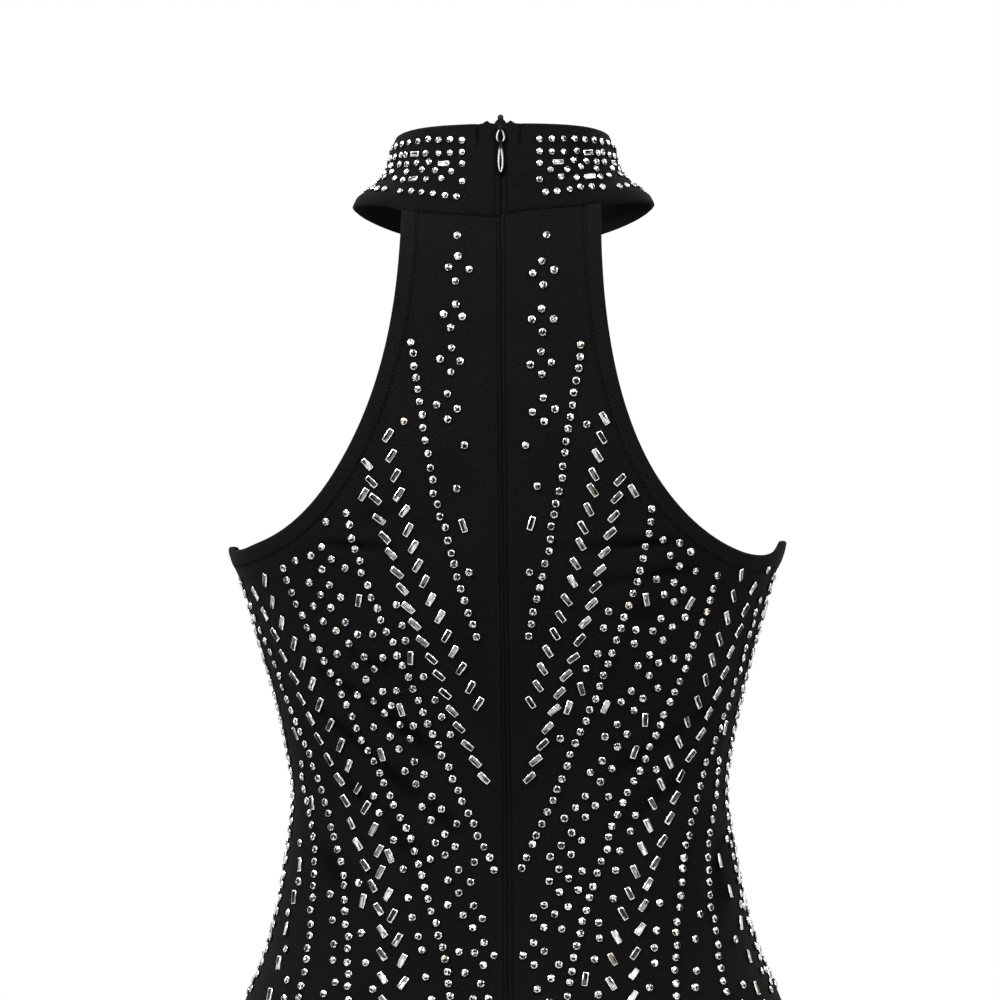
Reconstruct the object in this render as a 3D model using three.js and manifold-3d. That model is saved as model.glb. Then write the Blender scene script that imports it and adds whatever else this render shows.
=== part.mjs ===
// A sleeveless halter jumpsuit in stretch jersey, standing open as if worn.
// Millimetres, +Z up, the garment's front towards -Y, its wearer's left at +X.
// The origin is the middle of the neck, level with the seam between collar and back.
import * as THREE from "three";
import { mergeVertices } from "three/addons/utils/BufferGeometryUtils.js";
import Module from "manifold-3d";

const wasm = await Module();
wasm.setup();

// ---- Driving sizes ----
const CLOTH = 1.2; // the jersey's wall
const SEAM_GAP = 0.38; // between two pieces that are sewn together
const COLLAR_HEIGHT = 45; // at the centre back
const COLLAR_PROUD = 0.6; // how far the doubled collar stands out from the panels
const COLLAR_WALL = 2.4;
const SEAT_LEVEL = -425; // below here the trunk's section turns into two legs' width
const HIP_LEVEL = -470; // where the crotch seam starts to curve in
const CROTCH_LEVEL = -585;
const CROTCH_FLATNESS = 0.12; // how far the section draws in at its middle above the crotch
const HEM_LEVEL = -1290;
const ZIP_CHANNEL = 1.8; // half the opening between the folded edges beside the zip
const ZIP_END = -450; // the zip's bottom stop
const ZIP_FADE = { from: -470, to: -490 }; // the opening closes to a plain seam here

// The trunk and collar, as level sections. back and front are depths from the middle,
// and square is the section's exponent: 2 is an ellipse, and more is flatter.
const TRUNK = [
  { level: 45, half: 55, back: 45, front: 60, square: 2 },
  { level: 36, half: 57.6, back: 47.2, front: 60, square: 2 },
  { level: 26, half: 59.4, back: 49.7, front: 60.2, square: 2 },
  { level: 18, half: 62.6, back: 51.7, front: 60.6, square: 2 },
  { level: 11, half: 68.5, back: 53.4, front: 61.2, square: 2 },
  { level: 5, half: 75.5, back: 54.8, front: 61.7, square: 2 },
  { level: 0, half: 78.5, back: 56, front: 62, square: 2 },
  { level: -17, half: 104, back: 62, front: 67, square: 2.1 },
  { level: -47, half: 132, back: 71, front: 80, square: 2.2 },
  { level: -87, half: 149, back: 79, front: 99, square: 2.2 },
  { level: -127, half: 152, back: 84, front: 115, square: 2.2 },
  { level: -175, half: 144.2, back: 85, front: 121, square: 2.2 },
  { level: -192, half: 137.4, back: 83.5, front: 118, square: 2.2 },
  { level: -217, half: 130.3, back: 80, front: 110, square: 2.2 },
  { level: -247, half: 122, back: 75, front: 99, square: 2.2 },
  { level: -277, half: 115.5, back: 71, front: 91, square: 2.2 },
  { level: -300, half: 112.8, back: 69.5, front: 88, square: 2.2 },
  { level: -327, half: 116, back: 71, front: 90, square: 2.2 },
  { level: -357, half: 121.3, back: 76, front: 95, square: 2.2 },
  { level: -382, half: 128.4, back: 82, front: 99, square: 2.2 },
  { level: -404, half: 137.8, back: 88, front: 102, square: 2.2 },
  { level: -438, half: 151, back: 98, front: 104, square: 2.2 },
  { level: -475, half: 160.5, back: 106, front: 103, square: 2.2 },
  { level: -510, half: 165, back: 109, front: 100, square: 2.2 },
  { level: -550, half: 166, back: 105, front: 96, square: 2.2 },
  { level: -585, half: 164.5, back: 98, front: 92, square: 2.2 },
];

// One leg: its inseam lies apart from the middle, and the leg ahead towards the front.
const LEG = [
  { level: -425, apart: 0.2, ahead: 0, half: 72.5, back: 94, front: 103 },
  { level: -470, apart: 0.2, ahead: 0, half: 79.6, back: 104, front: 103 },
  { level: -510, apart: 0.2, ahead: 0, half: 82.4, back: 107, front: 99 },
  { level: -550, apart: 0.2, ahead: 0, half: 82.8, back: 103, front: 95 },
  { level: -585, apart: 0.4, ahead: 0, half: 82.2, back: 96, front: 91 },
  { level: -640, apart: 6, ahead: 2, half: 78, back: 86, front: 84 },
  { level: -720, apart: 17.5, ahead: 4, half: 69.5, back: 75, front: 76 },
  { level: -800, apart: 27, ahead: 6, half: 62, back: 67, front: 69 },
  { level: -880, apart: 34, ahead: 6, half: 57, back: 61, front: 63 },
  { level: -960, apart: 36, ahead: 2, half: 57, back: 62, front: 60 },
  { level: -1050, apart: 35, ahead: -2, half: 60, back: 64, front: 60 },
  { level: -1170, apart: 32, ahead: -4, half: 66, back: 68, front: 65 },
  { level: -1290, apart: 29, ahead: -5, half: 72, back: 74, front: 71 },
];

// The neckline's rise and fall from level: side over the shoulder, throat at the centre front.
const NECK_EDGE = {
  lower: { side: 8.75, throat: -15 },
  upper: { side: -0.5, throat: -20 },
};
const NECK_FADE = -100; // the level where the trunk's sections are flat again

// The armhole, as seen from behind: a rounded corner between the strap and the underarm. Both
// edges turn up at the side to meet; the front is cut a little deeper than the back.
const ARMHOLE = {
  strap: { back: 51.5, front: 49.5 },
  depth: { back: 175.5, front: 179 },
  side: 171, // the level both edges rise to at the side seam
  upturn: 0.72, // the share of the edge where it starts to turn up
  roundness: 2.2,
};
const UNDERARM_HALF = 144;

// Soft folds where the jersey is pulled round the figure. face is the panel that each lies
// on; across and level are its ends, wide its half width and deep how far it sinks.
const FOLDS = [
  { side: "right", face: "back", across: [52, 98], level: [-187, -175], wide: 9, deep: 1.6 },
  { side: "left", face: "back", across: [52, 92], level: [-173, -165], wide: 9, deep: 1.4 },
  { side: "left", face: "back", across: [92, 58], level: [-235, -259], wide: 10, deep: 1.8 },
  { side: "left", face: "back", across: [86, 46], level: [-261, -289], wide: 10, deep: 1.6 },
  { side: "right", face: "back", across: [100, 72], level: [-243, -269], wide: 10, deep: 1.6 },
  { side: "left", face: "front", across: [98, 60], level: [-232, -256], wide: 11, deep: 1.6 },
  { side: "right", face: "front", across: [98, 60], level: [-236, -258], wide: 11, deep: 1.6 },
  { side: "left", face: "front", across: [30, 92], level: [-562, -520], wide: 13, deep: 2.4 },
  { side: "right", face: "front", across: [30, 92], level: [-560, -522], wide: 13, deep: 2.4 },
  { side: "left", face: "back", across: [40, 112], level: [-622, -606], wide: 15, deep: 3 },
  { side: "right", face: "back", across: [40, 112], level: [-620, -608], wide: 15, deep: 3 },
  { side: "left", face: "back", across: [60, 126], level: [-872, -864], wide: 16, deep: 3 },
  { side: "right", face: "back", across: [60, 126], level: [-868, -866], wide: 16, deep: 3 },
  { side: "left", face: "back", across: [62, 120], level: [-912, -902], wide: 14, deep: 2.2 },
  { side: "right", face: "back", across: [62, 120], level: [-906, -910], wide: 14, deep: 2.2 },
];

// ---- The figure's surface ----
// A smooth curve through one named column of a table whose rows run downwards.
function column(rows, name) {
  const at = rows.map((row) => row.level);
  const value = rows.map((row) => row[name]);
  const last = rows.length - 1;
  const slope = value.map((_, i) => {
    const a = Math.max(0, i - 1);
    const b = Math.min(last, i + 1);
    return (value[b] - value[a]) / (at[b] - at[a]);
  });
  return (level) => {
    const inside = Math.min(at[0], Math.max(at[last], level));
    let i = 0;
    while (i < last - 1 && inside < at[i + 1]) i += 1;
    const step = at[i + 1] - at[i];
    const s = (inside - at[i]) / step;
    const rise = 3 * s * s - 2 * s * s * s;
    return (
      value[i] * (1 - rise) +
      value[i + 1] * rise +
      step * slope[i] * s * (1 - s) * (1 - s) -
      step * slope[i + 1] * s * s * (1 - s)
    );
  };
}

const trunk = Object.fromEntries(
  ["half", "back", "front", "square"].map((name) => [name, column(TRUNK, name)]),
);
const leg = Object.fromEntries(
  ["apart", "ahead", "half", "back", "front"].map((name) => [name, column(LEG, name)]),
);
const mix = THREE.MathUtils.lerp;
const ease = THREE.MathUtils.smoothstep;

function edgeLift(edge, angle) {
  const forward = (1 - Math.cos(angle)) / 2;
  return edge.side * Math.sin(angle) ** 2 + edge.throat * forward ** 2;
}

function neckLift(angle, level) {
  const lower = edgeLift(NECK_EDGE.lower, angle);
  if (level < 0) return lower * ease(level, NECK_FADE, 0);
  return mix(lower, edgeLift(NECK_EDGE.upper, angle), level / COLLAR_HEIGHT);
}

// turn runs from 0 at the centre back or inseam, by 0.5 at the side, to 1 at the front.
function trunkPoint(turn, level) {
  const angle = Math.PI * turn;
  const n = trunk.square(level);
  const sin = Math.sin(angle);
  const cos = Math.cos(angle);
  const reach = (Math.abs(sin) ** n + Math.abs(cos) ** n) ** (-1 / n);
  const depth = cos > 0 ? trunk.back(level) : trunk.front(level);
  return new THREE.Vector3(
    trunk.half(level) * sin * reach,
    depth * cos * reach,
    level + neckLift(angle, level),
  );
}

function legPoint(turn, level) {
  const angle = 2 * Math.PI * turn;
  const sin = Math.sin(angle);
  const depth = sin > 0 ? leg.back(level) : leg.front(level);
  return new THREE.Vector3(
    leg.apart(level) + leg.half(level) * (1 - Math.cos(angle)),
    depth * sin - leg.ahead(level),
    level,
  );
}

// The leg's section, but open at its inner half, where it runs on to the other leg.
function openLegPoint(turn, level) {
  const point = legPoint(turn, level);
  const inward = Math.max(0, Math.cos(2 * Math.PI * turn));
  const depth = turn < 0.5 ? leg.back(level) : -leg.front(level);
  if (inward > 0) point.y = depth * Math.sqrt(1 - CROTCH_FLATNESS * inward * inward);
  return point;
}

// The trunk's section widens to that of two legs, and then draws in at the middle.
function figurePoint(turn, level) {
  if (level >= SEAT_LEVEL) return trunkPoint(turn, level);
  if (level <= CROTCH_LEVEL) return legPoint(turn, level);
  const widened = 1 - ease(level, CROTCH_LEVEL, SEAT_LEVEL);
  const section = trunkPoint(turn, level).lerp(openLegPoint(turn, level), widened);
  if (level >= HIP_LEVEL) return section;
  const left = (level - CROTCH_LEVEL) / (HIP_LEVEL - CROTCH_LEVEL);
  const fromSeam = ease(Math.min(turn, 1 - turn), 0, 0.2);
  const joined = mix(Math.sqrt(1 - (1 - left) ** 2), ease(left, 0, 1), fromSeam);
  return legPoint(turn, level).lerp(section, joined);
}

// How far the folds of one side and face sink at a point.
function foldDepth(side, turn, point) {
  const face = turn < 0.5 ? "back" : "front";
  let depth = 0;
  for (const fold of FOLDS) {
    if (fold.side !== side || fold.face !== face) continue;
    const along = new THREE.Vector2(fold.across[1] - fold.across[0], fold.level[1] - fold.level[0]);
    const from = new THREE.Vector2(point.x - fold.across[0], point.z - fold.level[0]);
    const share = from.dot(along) / along.lengthSq();
    if (share <= 0 || share >= 1) continue;
    const away = Math.abs(from.cross(along)) / along.length();
    depth += fold.deep * Math.sin(Math.PI * share) ** 2 * Math.exp(-((away / fold.wide) ** 2));
  }
  return depth;
}

const NUDGE = { turn: 1e-4, level: 0.05 };

function outward(turn, level) {
  const t = Math.min(1 - NUDGE.turn, Math.max(NUDGE.turn, turn));
  const round = figurePoint(t + NUDGE.turn, level).sub(figurePoint(t - NUDGE.turn, level));
  const up = figurePoint(t, level + NUDGE.level).sub(figurePoint(t, level - NUDGE.level));
  return up.cross(round).normalize();
}

// A point of the jumpsuit's cloth, out millimetres outside its outer face.
function clothPoint(side, turn, level, out) {
  const point = figurePoint(turn, level);
  point.addScaledVector(outward(turn, level), out - foldDepth(side, turn, point));
  return point.setX(Math.max(point.x, SEAM_GAP / 2));
}

// The turn that covers a distance along the level line, near a given turn.
function turnFor(distance, turn, level) {
  const ahead = turn < 0.5 ? NUDGE.turn : -NUDGE.turn;
  const step = figurePoint(turn + ahead, level).distanceTo(figurePoint(turn, level));
  return (distance * NUDGE.turn) / step;
}

// The turn at which the trunk's section is this far across, on its back or front.
function turnAcross(across, level, face) {
  let near = face === "back" ? 0 : 1;
  let far = 0.5;
  for (let i = 0; i < 40; i += 1) {
    const middle = (near + far) / 2;
    if (trunkPoint(middle, level).x < across) near = middle;
    else far = middle;
  }
  return (near + far) / 2;
}

// ---- Meshes from rows of points ----
function geometryOf(points, triangles) {
  const geometry = new THREE.BufferGeometry().setFromPoints(points);
  geometry.setIndex(triangles);
  geometry.computeVertexNormals();
  return geometry;
}

// A wall between an outer and an inner sheet, each a list of rows of points.
function wall(outer, inner) {
  const rows = outer.length;
  const columns = outer[0].length;
  const points = [...outer.flat(), ...inner.flat()];
  const triangles = [];
  const quad = (a, b, c, d) => triangles.push(a, b, c, b, d, c);
  const out = (row, col) => row * columns + col;
  const inn = (row, col) => rows * columns + row * columns + col;
  for (let row = 0; row < rows - 1; row += 1) {
    for (let col = 0; col < columns - 1; col += 1) {
      quad(out(row, col), out(row, col + 1), out(row + 1, col), out(row + 1, col + 1));
      quad(inn(row, col + 1), inn(row, col), inn(row + 1, col + 1), inn(row + 1, col));
    }
    quad(inn(row, 0), out(row, 0), inn(row + 1, 0), out(row + 1, 0));
    const end = columns - 1;
    quad(out(row, end), inn(row, end), out(row + 1, end), inn(row + 1, end));
  }
  for (let col = 0; col < columns - 1; col += 1) {
    const end = rows - 1;
    quad(inn(0, col), inn(0, col + 1), out(0, col), out(0, col + 1));
    quad(out(end, col), out(end, col + 1), inn(end, col), inn(end, col + 1));
  }
  return geometryOf(points, triangles);
}

// A strip lofted through sections that share one outline, closed at both ends.
function strip(sections, outline) {
  const count = outline.length;
  const caps = THREE.ShapeUtils.triangulateShape(outline, []);
  const triangles = [];
  for (let row = 0; row < sections.length - 1; row += 1) {
    for (let i = 0; i < count; i += 1) {
      const a = row * count + i;
      const b = row * count + ((i + 1) % count);
      triangles.push(a, b, a + count, b, b + count, a + count);
    }
  }
  const last = (sections.length - 1) * count;
  for (const [a, b, c] of caps) {
    triangles.push(a, c, b, last + a, last + b, last + c);
  }
  return geometryOf(sections.flat(), triangles);
}

function facingOut(geometry) {
  const p = geometry.attributes.position;
  const corner = [new THREE.Vector3(), new THREE.Vector3(), new THREE.Vector3()];
  const index = geometry.index.array;
  let volume = 0;
  for (let i = 0; i < index.length; i += 3) {
    corner.forEach((v, k) => v.fromBufferAttribute(p, index[i + k]));
    volume += corner[0].dot(corner[1].clone().cross(corner[2]));
  }
  if (volume > 0) return geometry;
  for (let i = 0; i < index.length; i += 3) {
    [index[i + 1], index[i + 2]] = [index[i + 2], index[i + 1]];
  }
  geometry.computeVertexNormals();
  return geometry;
}

// ---- Materials ----
const jersey = new THREE.MeshStandardMaterial({ color: 0x141214, roughness: 0.85 });
const bandJersey = new THREE.MeshStandardMaterial({ color: 0x131412, roughness: 0.8 });
const zipTape = new THREE.MeshStandardMaterial({ color: 0x0d0c0d, roughness: 0.7 });
const lacquer = new THREE.MeshStandardMaterial({ color: 0x101010, roughness: 0.2, metalness: 0.6 });

function piece(name, geometry, material) {
  const mesh = new THREE.Mesh(geometry, material);
  mesh.name = name;
  return mesh;
}

// ---- The armhole's outline ----
const BAND = { wide: 9, proud: 0.4, wall: 2 };
const CLOTH_INSET = BAND.wide + SEAM_GAP; // the panels stop where the band is sewn on

// share runs from 0 at the collar to 1 at the underarm.
function armholeEdge(face, share, inset) {
  const angle = (Math.PI / 2) * (1 - (1 - share) ** 2);
  const wide = UNDERARM_HALF - ARMHOLE.strap[face];
  const depth = ARMHOLE.depth[face];
  const sin = Math.sin(angle);
  const cos = Math.cos(angle);
  const slant = Math.hypot(depth * cos, wide * sin);
  const across = ARMHOLE.strap[face] + wide * (1 - cos) - (inset * depth * cos) / slant;
  const drop = depth * sin ** (2 / ARMHOLE.roundness) + (inset * wide * sin) / slant;
  const upturn = (depth - ARMHOLE.side) * ease(share, ARMHOLE.upturn, 1);
  const level = upturn - Math.max(SEAM_GAP, drop);
  const turn = share === 1 ? 0.5 : turnAcross(across, level, face);
  return { turn, level };
}

// Shares of the armhole's edge that are evenly spaced along it.
function evenShares(face, count, inset) {
  const fine = 400;
  const lengths = [0];
  let before = null;
  for (let i = 0; i <= fine; i += 1) {
    const edge = armholeEdge(face, i / fine, inset);
    const point = figurePoint(edge.turn, edge.level);
    if (before) lengths.push(lengths[i - 1] + point.distanceTo(before));
    before = point;
  }
  return Array.from({ length: count + 1 }, (_, k) => {
    const wanted = (lengths[fine] * k) / count;
    const i = Math.min(fine - 1, Math.max(0, lengths.findIndex((l) => l >= wanted) - 1));
    const part = (wanted - lengths[i]) / (lengths[i + 1] - lengths[i]);
    return (i + part) / fine;
  });
}

// ---- Front and back panels, each cut in one from neck to hem ----
const PANEL = { columns: 12, armholeRows: 13, bodyRows: 14, crotchRows: 7 };
const LEG_ROWS = [
  -606, -632, -670, -720, -780, -835, -862, -878, -894, -910, -930, -980, -1060, -1170, HEM_LEVEL,
];
const UNDERARM_LEVEL = -ARMHOLE.side - CLOTH_INSET;
const ROW_DIP = 56; // the underarm's row is this much lower at the centre than at the side

// A panel's rows, each from a point on its centre edge to one on its outer edge.
function panelRows(face) {
  const lowest = UNDERARM_LEVEL - ROW_DIP;
  const rows = evenShares(face, PANEL.armholeRows, CLOTH_INSET).map((share, i) => ({
    side: armholeEdge(face, share, CLOTH_INSET),
    centre: mix(-SEAM_GAP, lowest, i / PANEL.armholeRows),
  }));
  const add = (centre, level) => rows.push({ side: { turn: 0.5, level }, centre });
  for (let i = 1; i <= PANEL.bodyRows; i += 1) {
    const share = i / PANEL.bodyRows;
    add(mix(lowest, HIP_LEVEL, share), mix(UNDERARM_LEVEL, HIP_LEVEL, share));
  }
  for (let i = 1; i <= PANEL.crotchRows; i += 1) {
    const lean = Math.cos((Math.PI / 2) * (i / PANEL.crotchRows));
    const level = mix(HIP_LEVEL, CROTCH_LEVEL, 1 - lean * lean);
    add(level, level);
  }
  for (const level of LEG_ROWS) add(level, level);
  return rows;
}

// The turn of a panel's centre edge: beside the zip, or at the plain seam.
function centreTurn(face, level) {
  const seam = SEAM_GAP / 2;
  const channel = face === "back" ? mix(seam, ZIP_CHANNEL, ease(level, ZIP_FADE.to, ZIP_FADE.from)) : seam;
  return turnFor(channel, 0, level);
}

function panel(side, face) {
  const rows = panelRows(face);
  const sheet = (out) =>
    rows.map((row) => {
      const centre = centreTurn(face, row.centre);
      const atSide = Math.abs(row.side.turn - 0.5) < 1e-6;
      const seam = atSide ? turnFor(SEAM_GAP / 2, 0.5, row.side.level) : 0;
      const edge = face === "back" ? row.side.turn - seam : 1 - row.side.turn - seam;
      return Array.from({ length: PANEL.columns + 1 }, (_, i) => {
        const share = i / PANEL.columns;
        const turn = mix(centre, edge, share);
        const level = mix(row.centre, row.side.level, share);
        return clothPoint(side, face === "back" ? turn : 1 - turn, level, out);
      });
    });
  return facingOut(wall(sheet(0), sheet(-CLOTH)));
}

// ---- The armhole's band, a doubled strip sewn round the edge from collar to collar ----
const BAND_COLUMNS = 3;

function armholeBand(side) {
  const shares = evenShares("back", PANEL.armholeRows, CLOTH_INSET);
  const path = shares.map((share) => ({ face: "back", share }));
  const front = evenShares("front", PANEL.armholeRows, CLOTH_INSET).reverse();
  front.slice(1).forEach((share) => path.push({ face: "front", share }));
  const sheet = (out) =>
    path.map(({ face, share }) =>
      Array.from({ length: BAND_COLUMNS + 1 }, (_, i) => {
        const edge = armholeEdge(face, share, (BAND.wide * i) / BAND_COLUMNS);
        return clothPoint(side, edge.turn, edge.level, out);
      }),
    );
  return facingOut(wall(sheet(BAND.proud), sheet(BAND.proud - BAND.wall)));
}

// ---- The collar, a doubled band from the zip round the throat to the zip ----
const COLLAR = { columns: 48, rows: 7 };

// fullTurn runs from 0 at the centre back, by the left and the throat, to 2 at the centre back.
function collarPoint(fullTurn, level, out) {
  const turn = fullTurn <= 1 ? fullTurn : 2 - fullTurn;
  const point = clothPoint("none", turn, level, out);
  return fullTurn <= 1 ? point : point.setX(-point.x);
}

function collar() {
  const sheet = (out) =>
    Array.from({ length: COLLAR.rows + 1 }, (_, r) => {
      const level = COLLAR_HEIGHT * (1 - r / COLLAR.rows);
      const open = turnFor(ZIP_CHANNEL, 0, level);
      return Array.from({ length: COLLAR.columns + 1 }, (__, c) =>
        collarPoint(mix(open, 2 - open, c / COLLAR.columns), level, out),
      );
    });
  return facingOut(wall(sheet(COLLAR_PROUD), sheet(COLLAR_PROUD - COLLAR_WALL)));
}

// ---- The invisible zip: two tapes, each with its coil rolled to the middle ----
const ZIP = { tapeWide: 10, tapeWall: 0.6, behind: 1, coilWide: 1.25, coilSunk: 0.2, rows: 26 };
const SLIDER_TOP = 43.2; // the level of the slider's top
const SLIDER_DROP = 10; // how much of the channel the slider fills

function zipHalf() {
  const top = COLLAR_HEIGHT - 1.5;
  const sections = [];
  for (let i = 0; i <= ZIP.rows; i += 1) {
    const level = mix(top, ZIP_END, (i / ZIP.rows) ** 1.25);
    const inCollar = ease(level, -14, -3);
    const tape = -mix(CLOTH, COLLAR_WALL - COLLAR_PROUD, inCollar) - ZIP.behind;
    const behindSlider = level > SLIDER_TOP - SLIDER_DROP - 0.5;
    const coil = behindSlider ? tape + 0.05 : -ZIP.coilSunk;
    const at = (across, out) => {
      const turn = turnAcross(across, Math.max(level, HIP_LEVEL), "back");
      return clothPoint("none", turn, level, out).setX(across);
    };
    const inner = SEAM_GAP / 2;
    sections.push([
      at(inner, tape - ZIP.tapeWall),
      at(ZIP.tapeWide, tape - ZIP.tapeWall),
      at(ZIP.tapeWide, tape),
      at(inner + ZIP.coilWide, tape),
      at(inner + ZIP.coilWide, coil),
      at(inner, coil),
    ]);
  }
  const outline = [
    [0, 0],
    [ZIP.tapeWide, 0],
    [ZIP.tapeWide, ZIP.tapeWall],
    [ZIP.coilWide, ZIP.tapeWall],
    [ZIP.coilWide, 2],
    [0, 2],
  ].map(([x, y]) => new THREE.Vector2(x, y));
  return facingOut(strip(sections, outline));
}

// ---- The slider and its pull, made upright and then leaned with the collar ----
const SLIDER = { half: 1.4, face: 0.5, back: -1.6, noseRadius: 2, noseUp: 3.4 };
const BRIDGE = { half: 0.8, inner: 2.6, wall: 0.8, window: 1.35 };
const PULL = { axisOut: 1.7, axisDrop: 2.2, wall: 1, ringHalf: 2.8, ringTall: 7.6, bar: 1, tabHalf: 1.9, tabTall: 16.3 };

function solidOf(geometry) {
  const bare = geometry.clone();
  bare.deleteAttribute("normal");
  bare.deleteAttribute("uv");
  const merged = mergeVertices(bare, 1e-4);
  const mesh = new wasm.Mesh({
    numProp: 3,
    vertProperties: new Float32Array(merged.attributes.position.array),
    triVerts: new Uint32Array(merged.index.array),
  });
  return new wasm.Manifold(mesh);
}

function fused(parts) {
  const whole = parts.map(solidOf).reduce((a, b) => a.add(b));
  const mesh = whole.getMesh();
  const geometry = new THREE.BufferGeometry();
  geometry.setAttribute("position", new THREE.BufferAttribute(new Float32Array(mesh.vertProperties), 3));
  geometry.setIndex(new THREE.BufferAttribute(new Uint32Array(mesh.triVerts), 1));
  geometry.computeVertexNormals();
  return geometry;
}

function block(x, y, z) {
  const size = [x, y, z].map(([low, high]) => high - low);
  const middle = [x, y, z].map(([low, high]) => (low + high) / 2);
  return new THREE.BoxGeometry(...size).translate(...middle);
}

function slider() {
  const axis = -PULL.axisDrop;
  const window = BRIDGE.window;
  const outer = BRIDGE.inner + BRIDGE.wall;
  const legIn = SLIDER.face - 0.3;
  const half = BRIDGE.half;
  return fused([
    block([-SLIDER.half, SLIDER.half], [SLIDER.back, SLIDER.face], [-SLIDER_DROP + 0.5, SLIDER.noseUp]),
    new THREE.SphereGeometry(SLIDER.noseRadius, 16, 10).scale(1, 0.75, 1).translate(0, 0, SLIDER.noseUp),
    block([-half, half], [legIn, outer], [axis + window, axis + window + BRIDGE.wall]),
    block([-half, half], [legIn, outer], [axis - window - BRIDGE.wall, axis - window]),
    block([-half, half], [BRIDGE.inner, outer], [axis - window - BRIDGE.wall, axis + window + BRIDGE.wall]),
  ]);
}

// The pull: an oval ring round the slider's bridge, and a long drop-shaped tab below it.
function pull() {
  const top = PULL.bar / 2;
  const ringLow = top - PULL.ringTall;
  const tabLow = ringLow - PULL.tabTall;
  const outline = new THREE.Shape();
  outline.moveTo(0, top);
  outline.bezierCurveTo(PULL.ringHalf, top, PULL.ringHalf + 0.3, ringLow + 3.4, 1, ringLow);
  outline.bezierCurveTo(0.8, ringLow - 2.6, PULL.tabHalf, ringLow - 4, PULL.tabHalf, tabLow + 3.2);
  outline.bezierCurveTo(PULL.tabHalf, tabLow + 0.8, 1, tabLow, 0, tabLow);
  outline.bezierCurveTo(-1, tabLow, -PULL.tabHalf, tabLow + 0.8, -PULL.tabHalf, tabLow + 3.2);
  outline.bezierCurveTo(-PULL.tabHalf, ringLow - 4, -0.8, ringLow - 2.6, -1, ringLow);
  outline.bezierCurveTo(-PULL.ringHalf - 0.3, ringLow + 3.4, -PULL.ringHalf, top, 0, top);
  const hole = new THREE.Path();
  const inHalf = PULL.ringHalf - PULL.bar;
  const holeTop = top - PULL.bar;
  const holeLow = ringLow + 1.6;
  hole.moveTo(inHalf * 0.8, holeTop);
  hole.lineTo(-inHalf * 0.8, holeTop);
  hole.bezierCurveTo(-inHalf - 0.1, holeTop - 2, -inHalf * 0.8, holeLow + 1, 0, holeLow);
  hole.bezierCurveTo(inHalf * 0.8, holeLow + 1, inHalf + 0.1, holeTop - 2, inHalf * 0.8, holeTop);
  outline.holes.push(hole);
  const flat = new THREE.ExtrudeGeometry(outline, {
    depth: PULL.wall,
    bevelEnabled: false,
    curveSegments: 8,
  });
  // The outline is drawn in X and Y: it is stood up so that its height runs along Z.
  return flat.translate(0, 0, -PULL.wall / 2).rotateX(Math.PI / 2);
}

// ---- Assembly ----
const jumpsuit = new THREE.Group();
for (const side of ["left", "right"]) {
  const half = new THREE.Group();
  half.scale.x = side === "left" ? 1 : -1;
  half.add(
    piece(`back_${side}`, panel(side, "back"), jersey),
    piece(`front_${side}`, panel(side, "front"), jersey),
    piece(`armhole_band_${side}`, armholeBand(side), bandJersey),
    piece(`zip_tape_${side}`, zipHalf(), zipTape),
  );
  jumpsuit.add(half);
}
jumpsuit.add(piece("collar", collar(), jersey));

const zipHead = new THREE.Group();
const topPoint = figurePoint(0, SLIDER_TOP);
const lowPoint = figurePoint(0, SLIDER_TOP - SLIDER_DROP);
zipHead.position.copy(topPoint);
zipHead.rotation.x = Math.atan2(lowPoint.y - topPoint.y, topPoint.z - lowPoint.z);
const tab = piece("zip_pull", pull(), lacquer);
tab.position.set(0, PULL.axisOut, -PULL.axisDrop);
zipHead.add(piece("zip_slider", slider(), lacquer), tab);
jumpsuit.add(zipHead);

export default jumpsuit;
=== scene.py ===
# A rhinestone jumpsuit in black stretch jersey: a halter back and front, each cut in one
# from neck to hem, a stand collar, bands round the armholes and an invisible back zip.
import math

import bpy
import numpy as np
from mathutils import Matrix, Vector


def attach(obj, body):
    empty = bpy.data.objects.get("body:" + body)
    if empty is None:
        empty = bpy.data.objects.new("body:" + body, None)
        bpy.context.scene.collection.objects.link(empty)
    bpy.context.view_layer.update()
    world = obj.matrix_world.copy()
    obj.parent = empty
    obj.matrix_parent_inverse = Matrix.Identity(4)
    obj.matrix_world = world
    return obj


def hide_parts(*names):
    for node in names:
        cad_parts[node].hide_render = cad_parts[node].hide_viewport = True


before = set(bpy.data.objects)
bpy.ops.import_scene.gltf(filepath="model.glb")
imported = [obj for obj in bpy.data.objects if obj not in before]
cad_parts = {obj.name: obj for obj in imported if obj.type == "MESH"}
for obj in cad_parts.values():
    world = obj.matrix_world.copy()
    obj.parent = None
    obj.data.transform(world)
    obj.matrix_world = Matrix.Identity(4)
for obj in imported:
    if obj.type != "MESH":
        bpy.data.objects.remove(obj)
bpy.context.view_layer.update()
MM = 0.001

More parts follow.
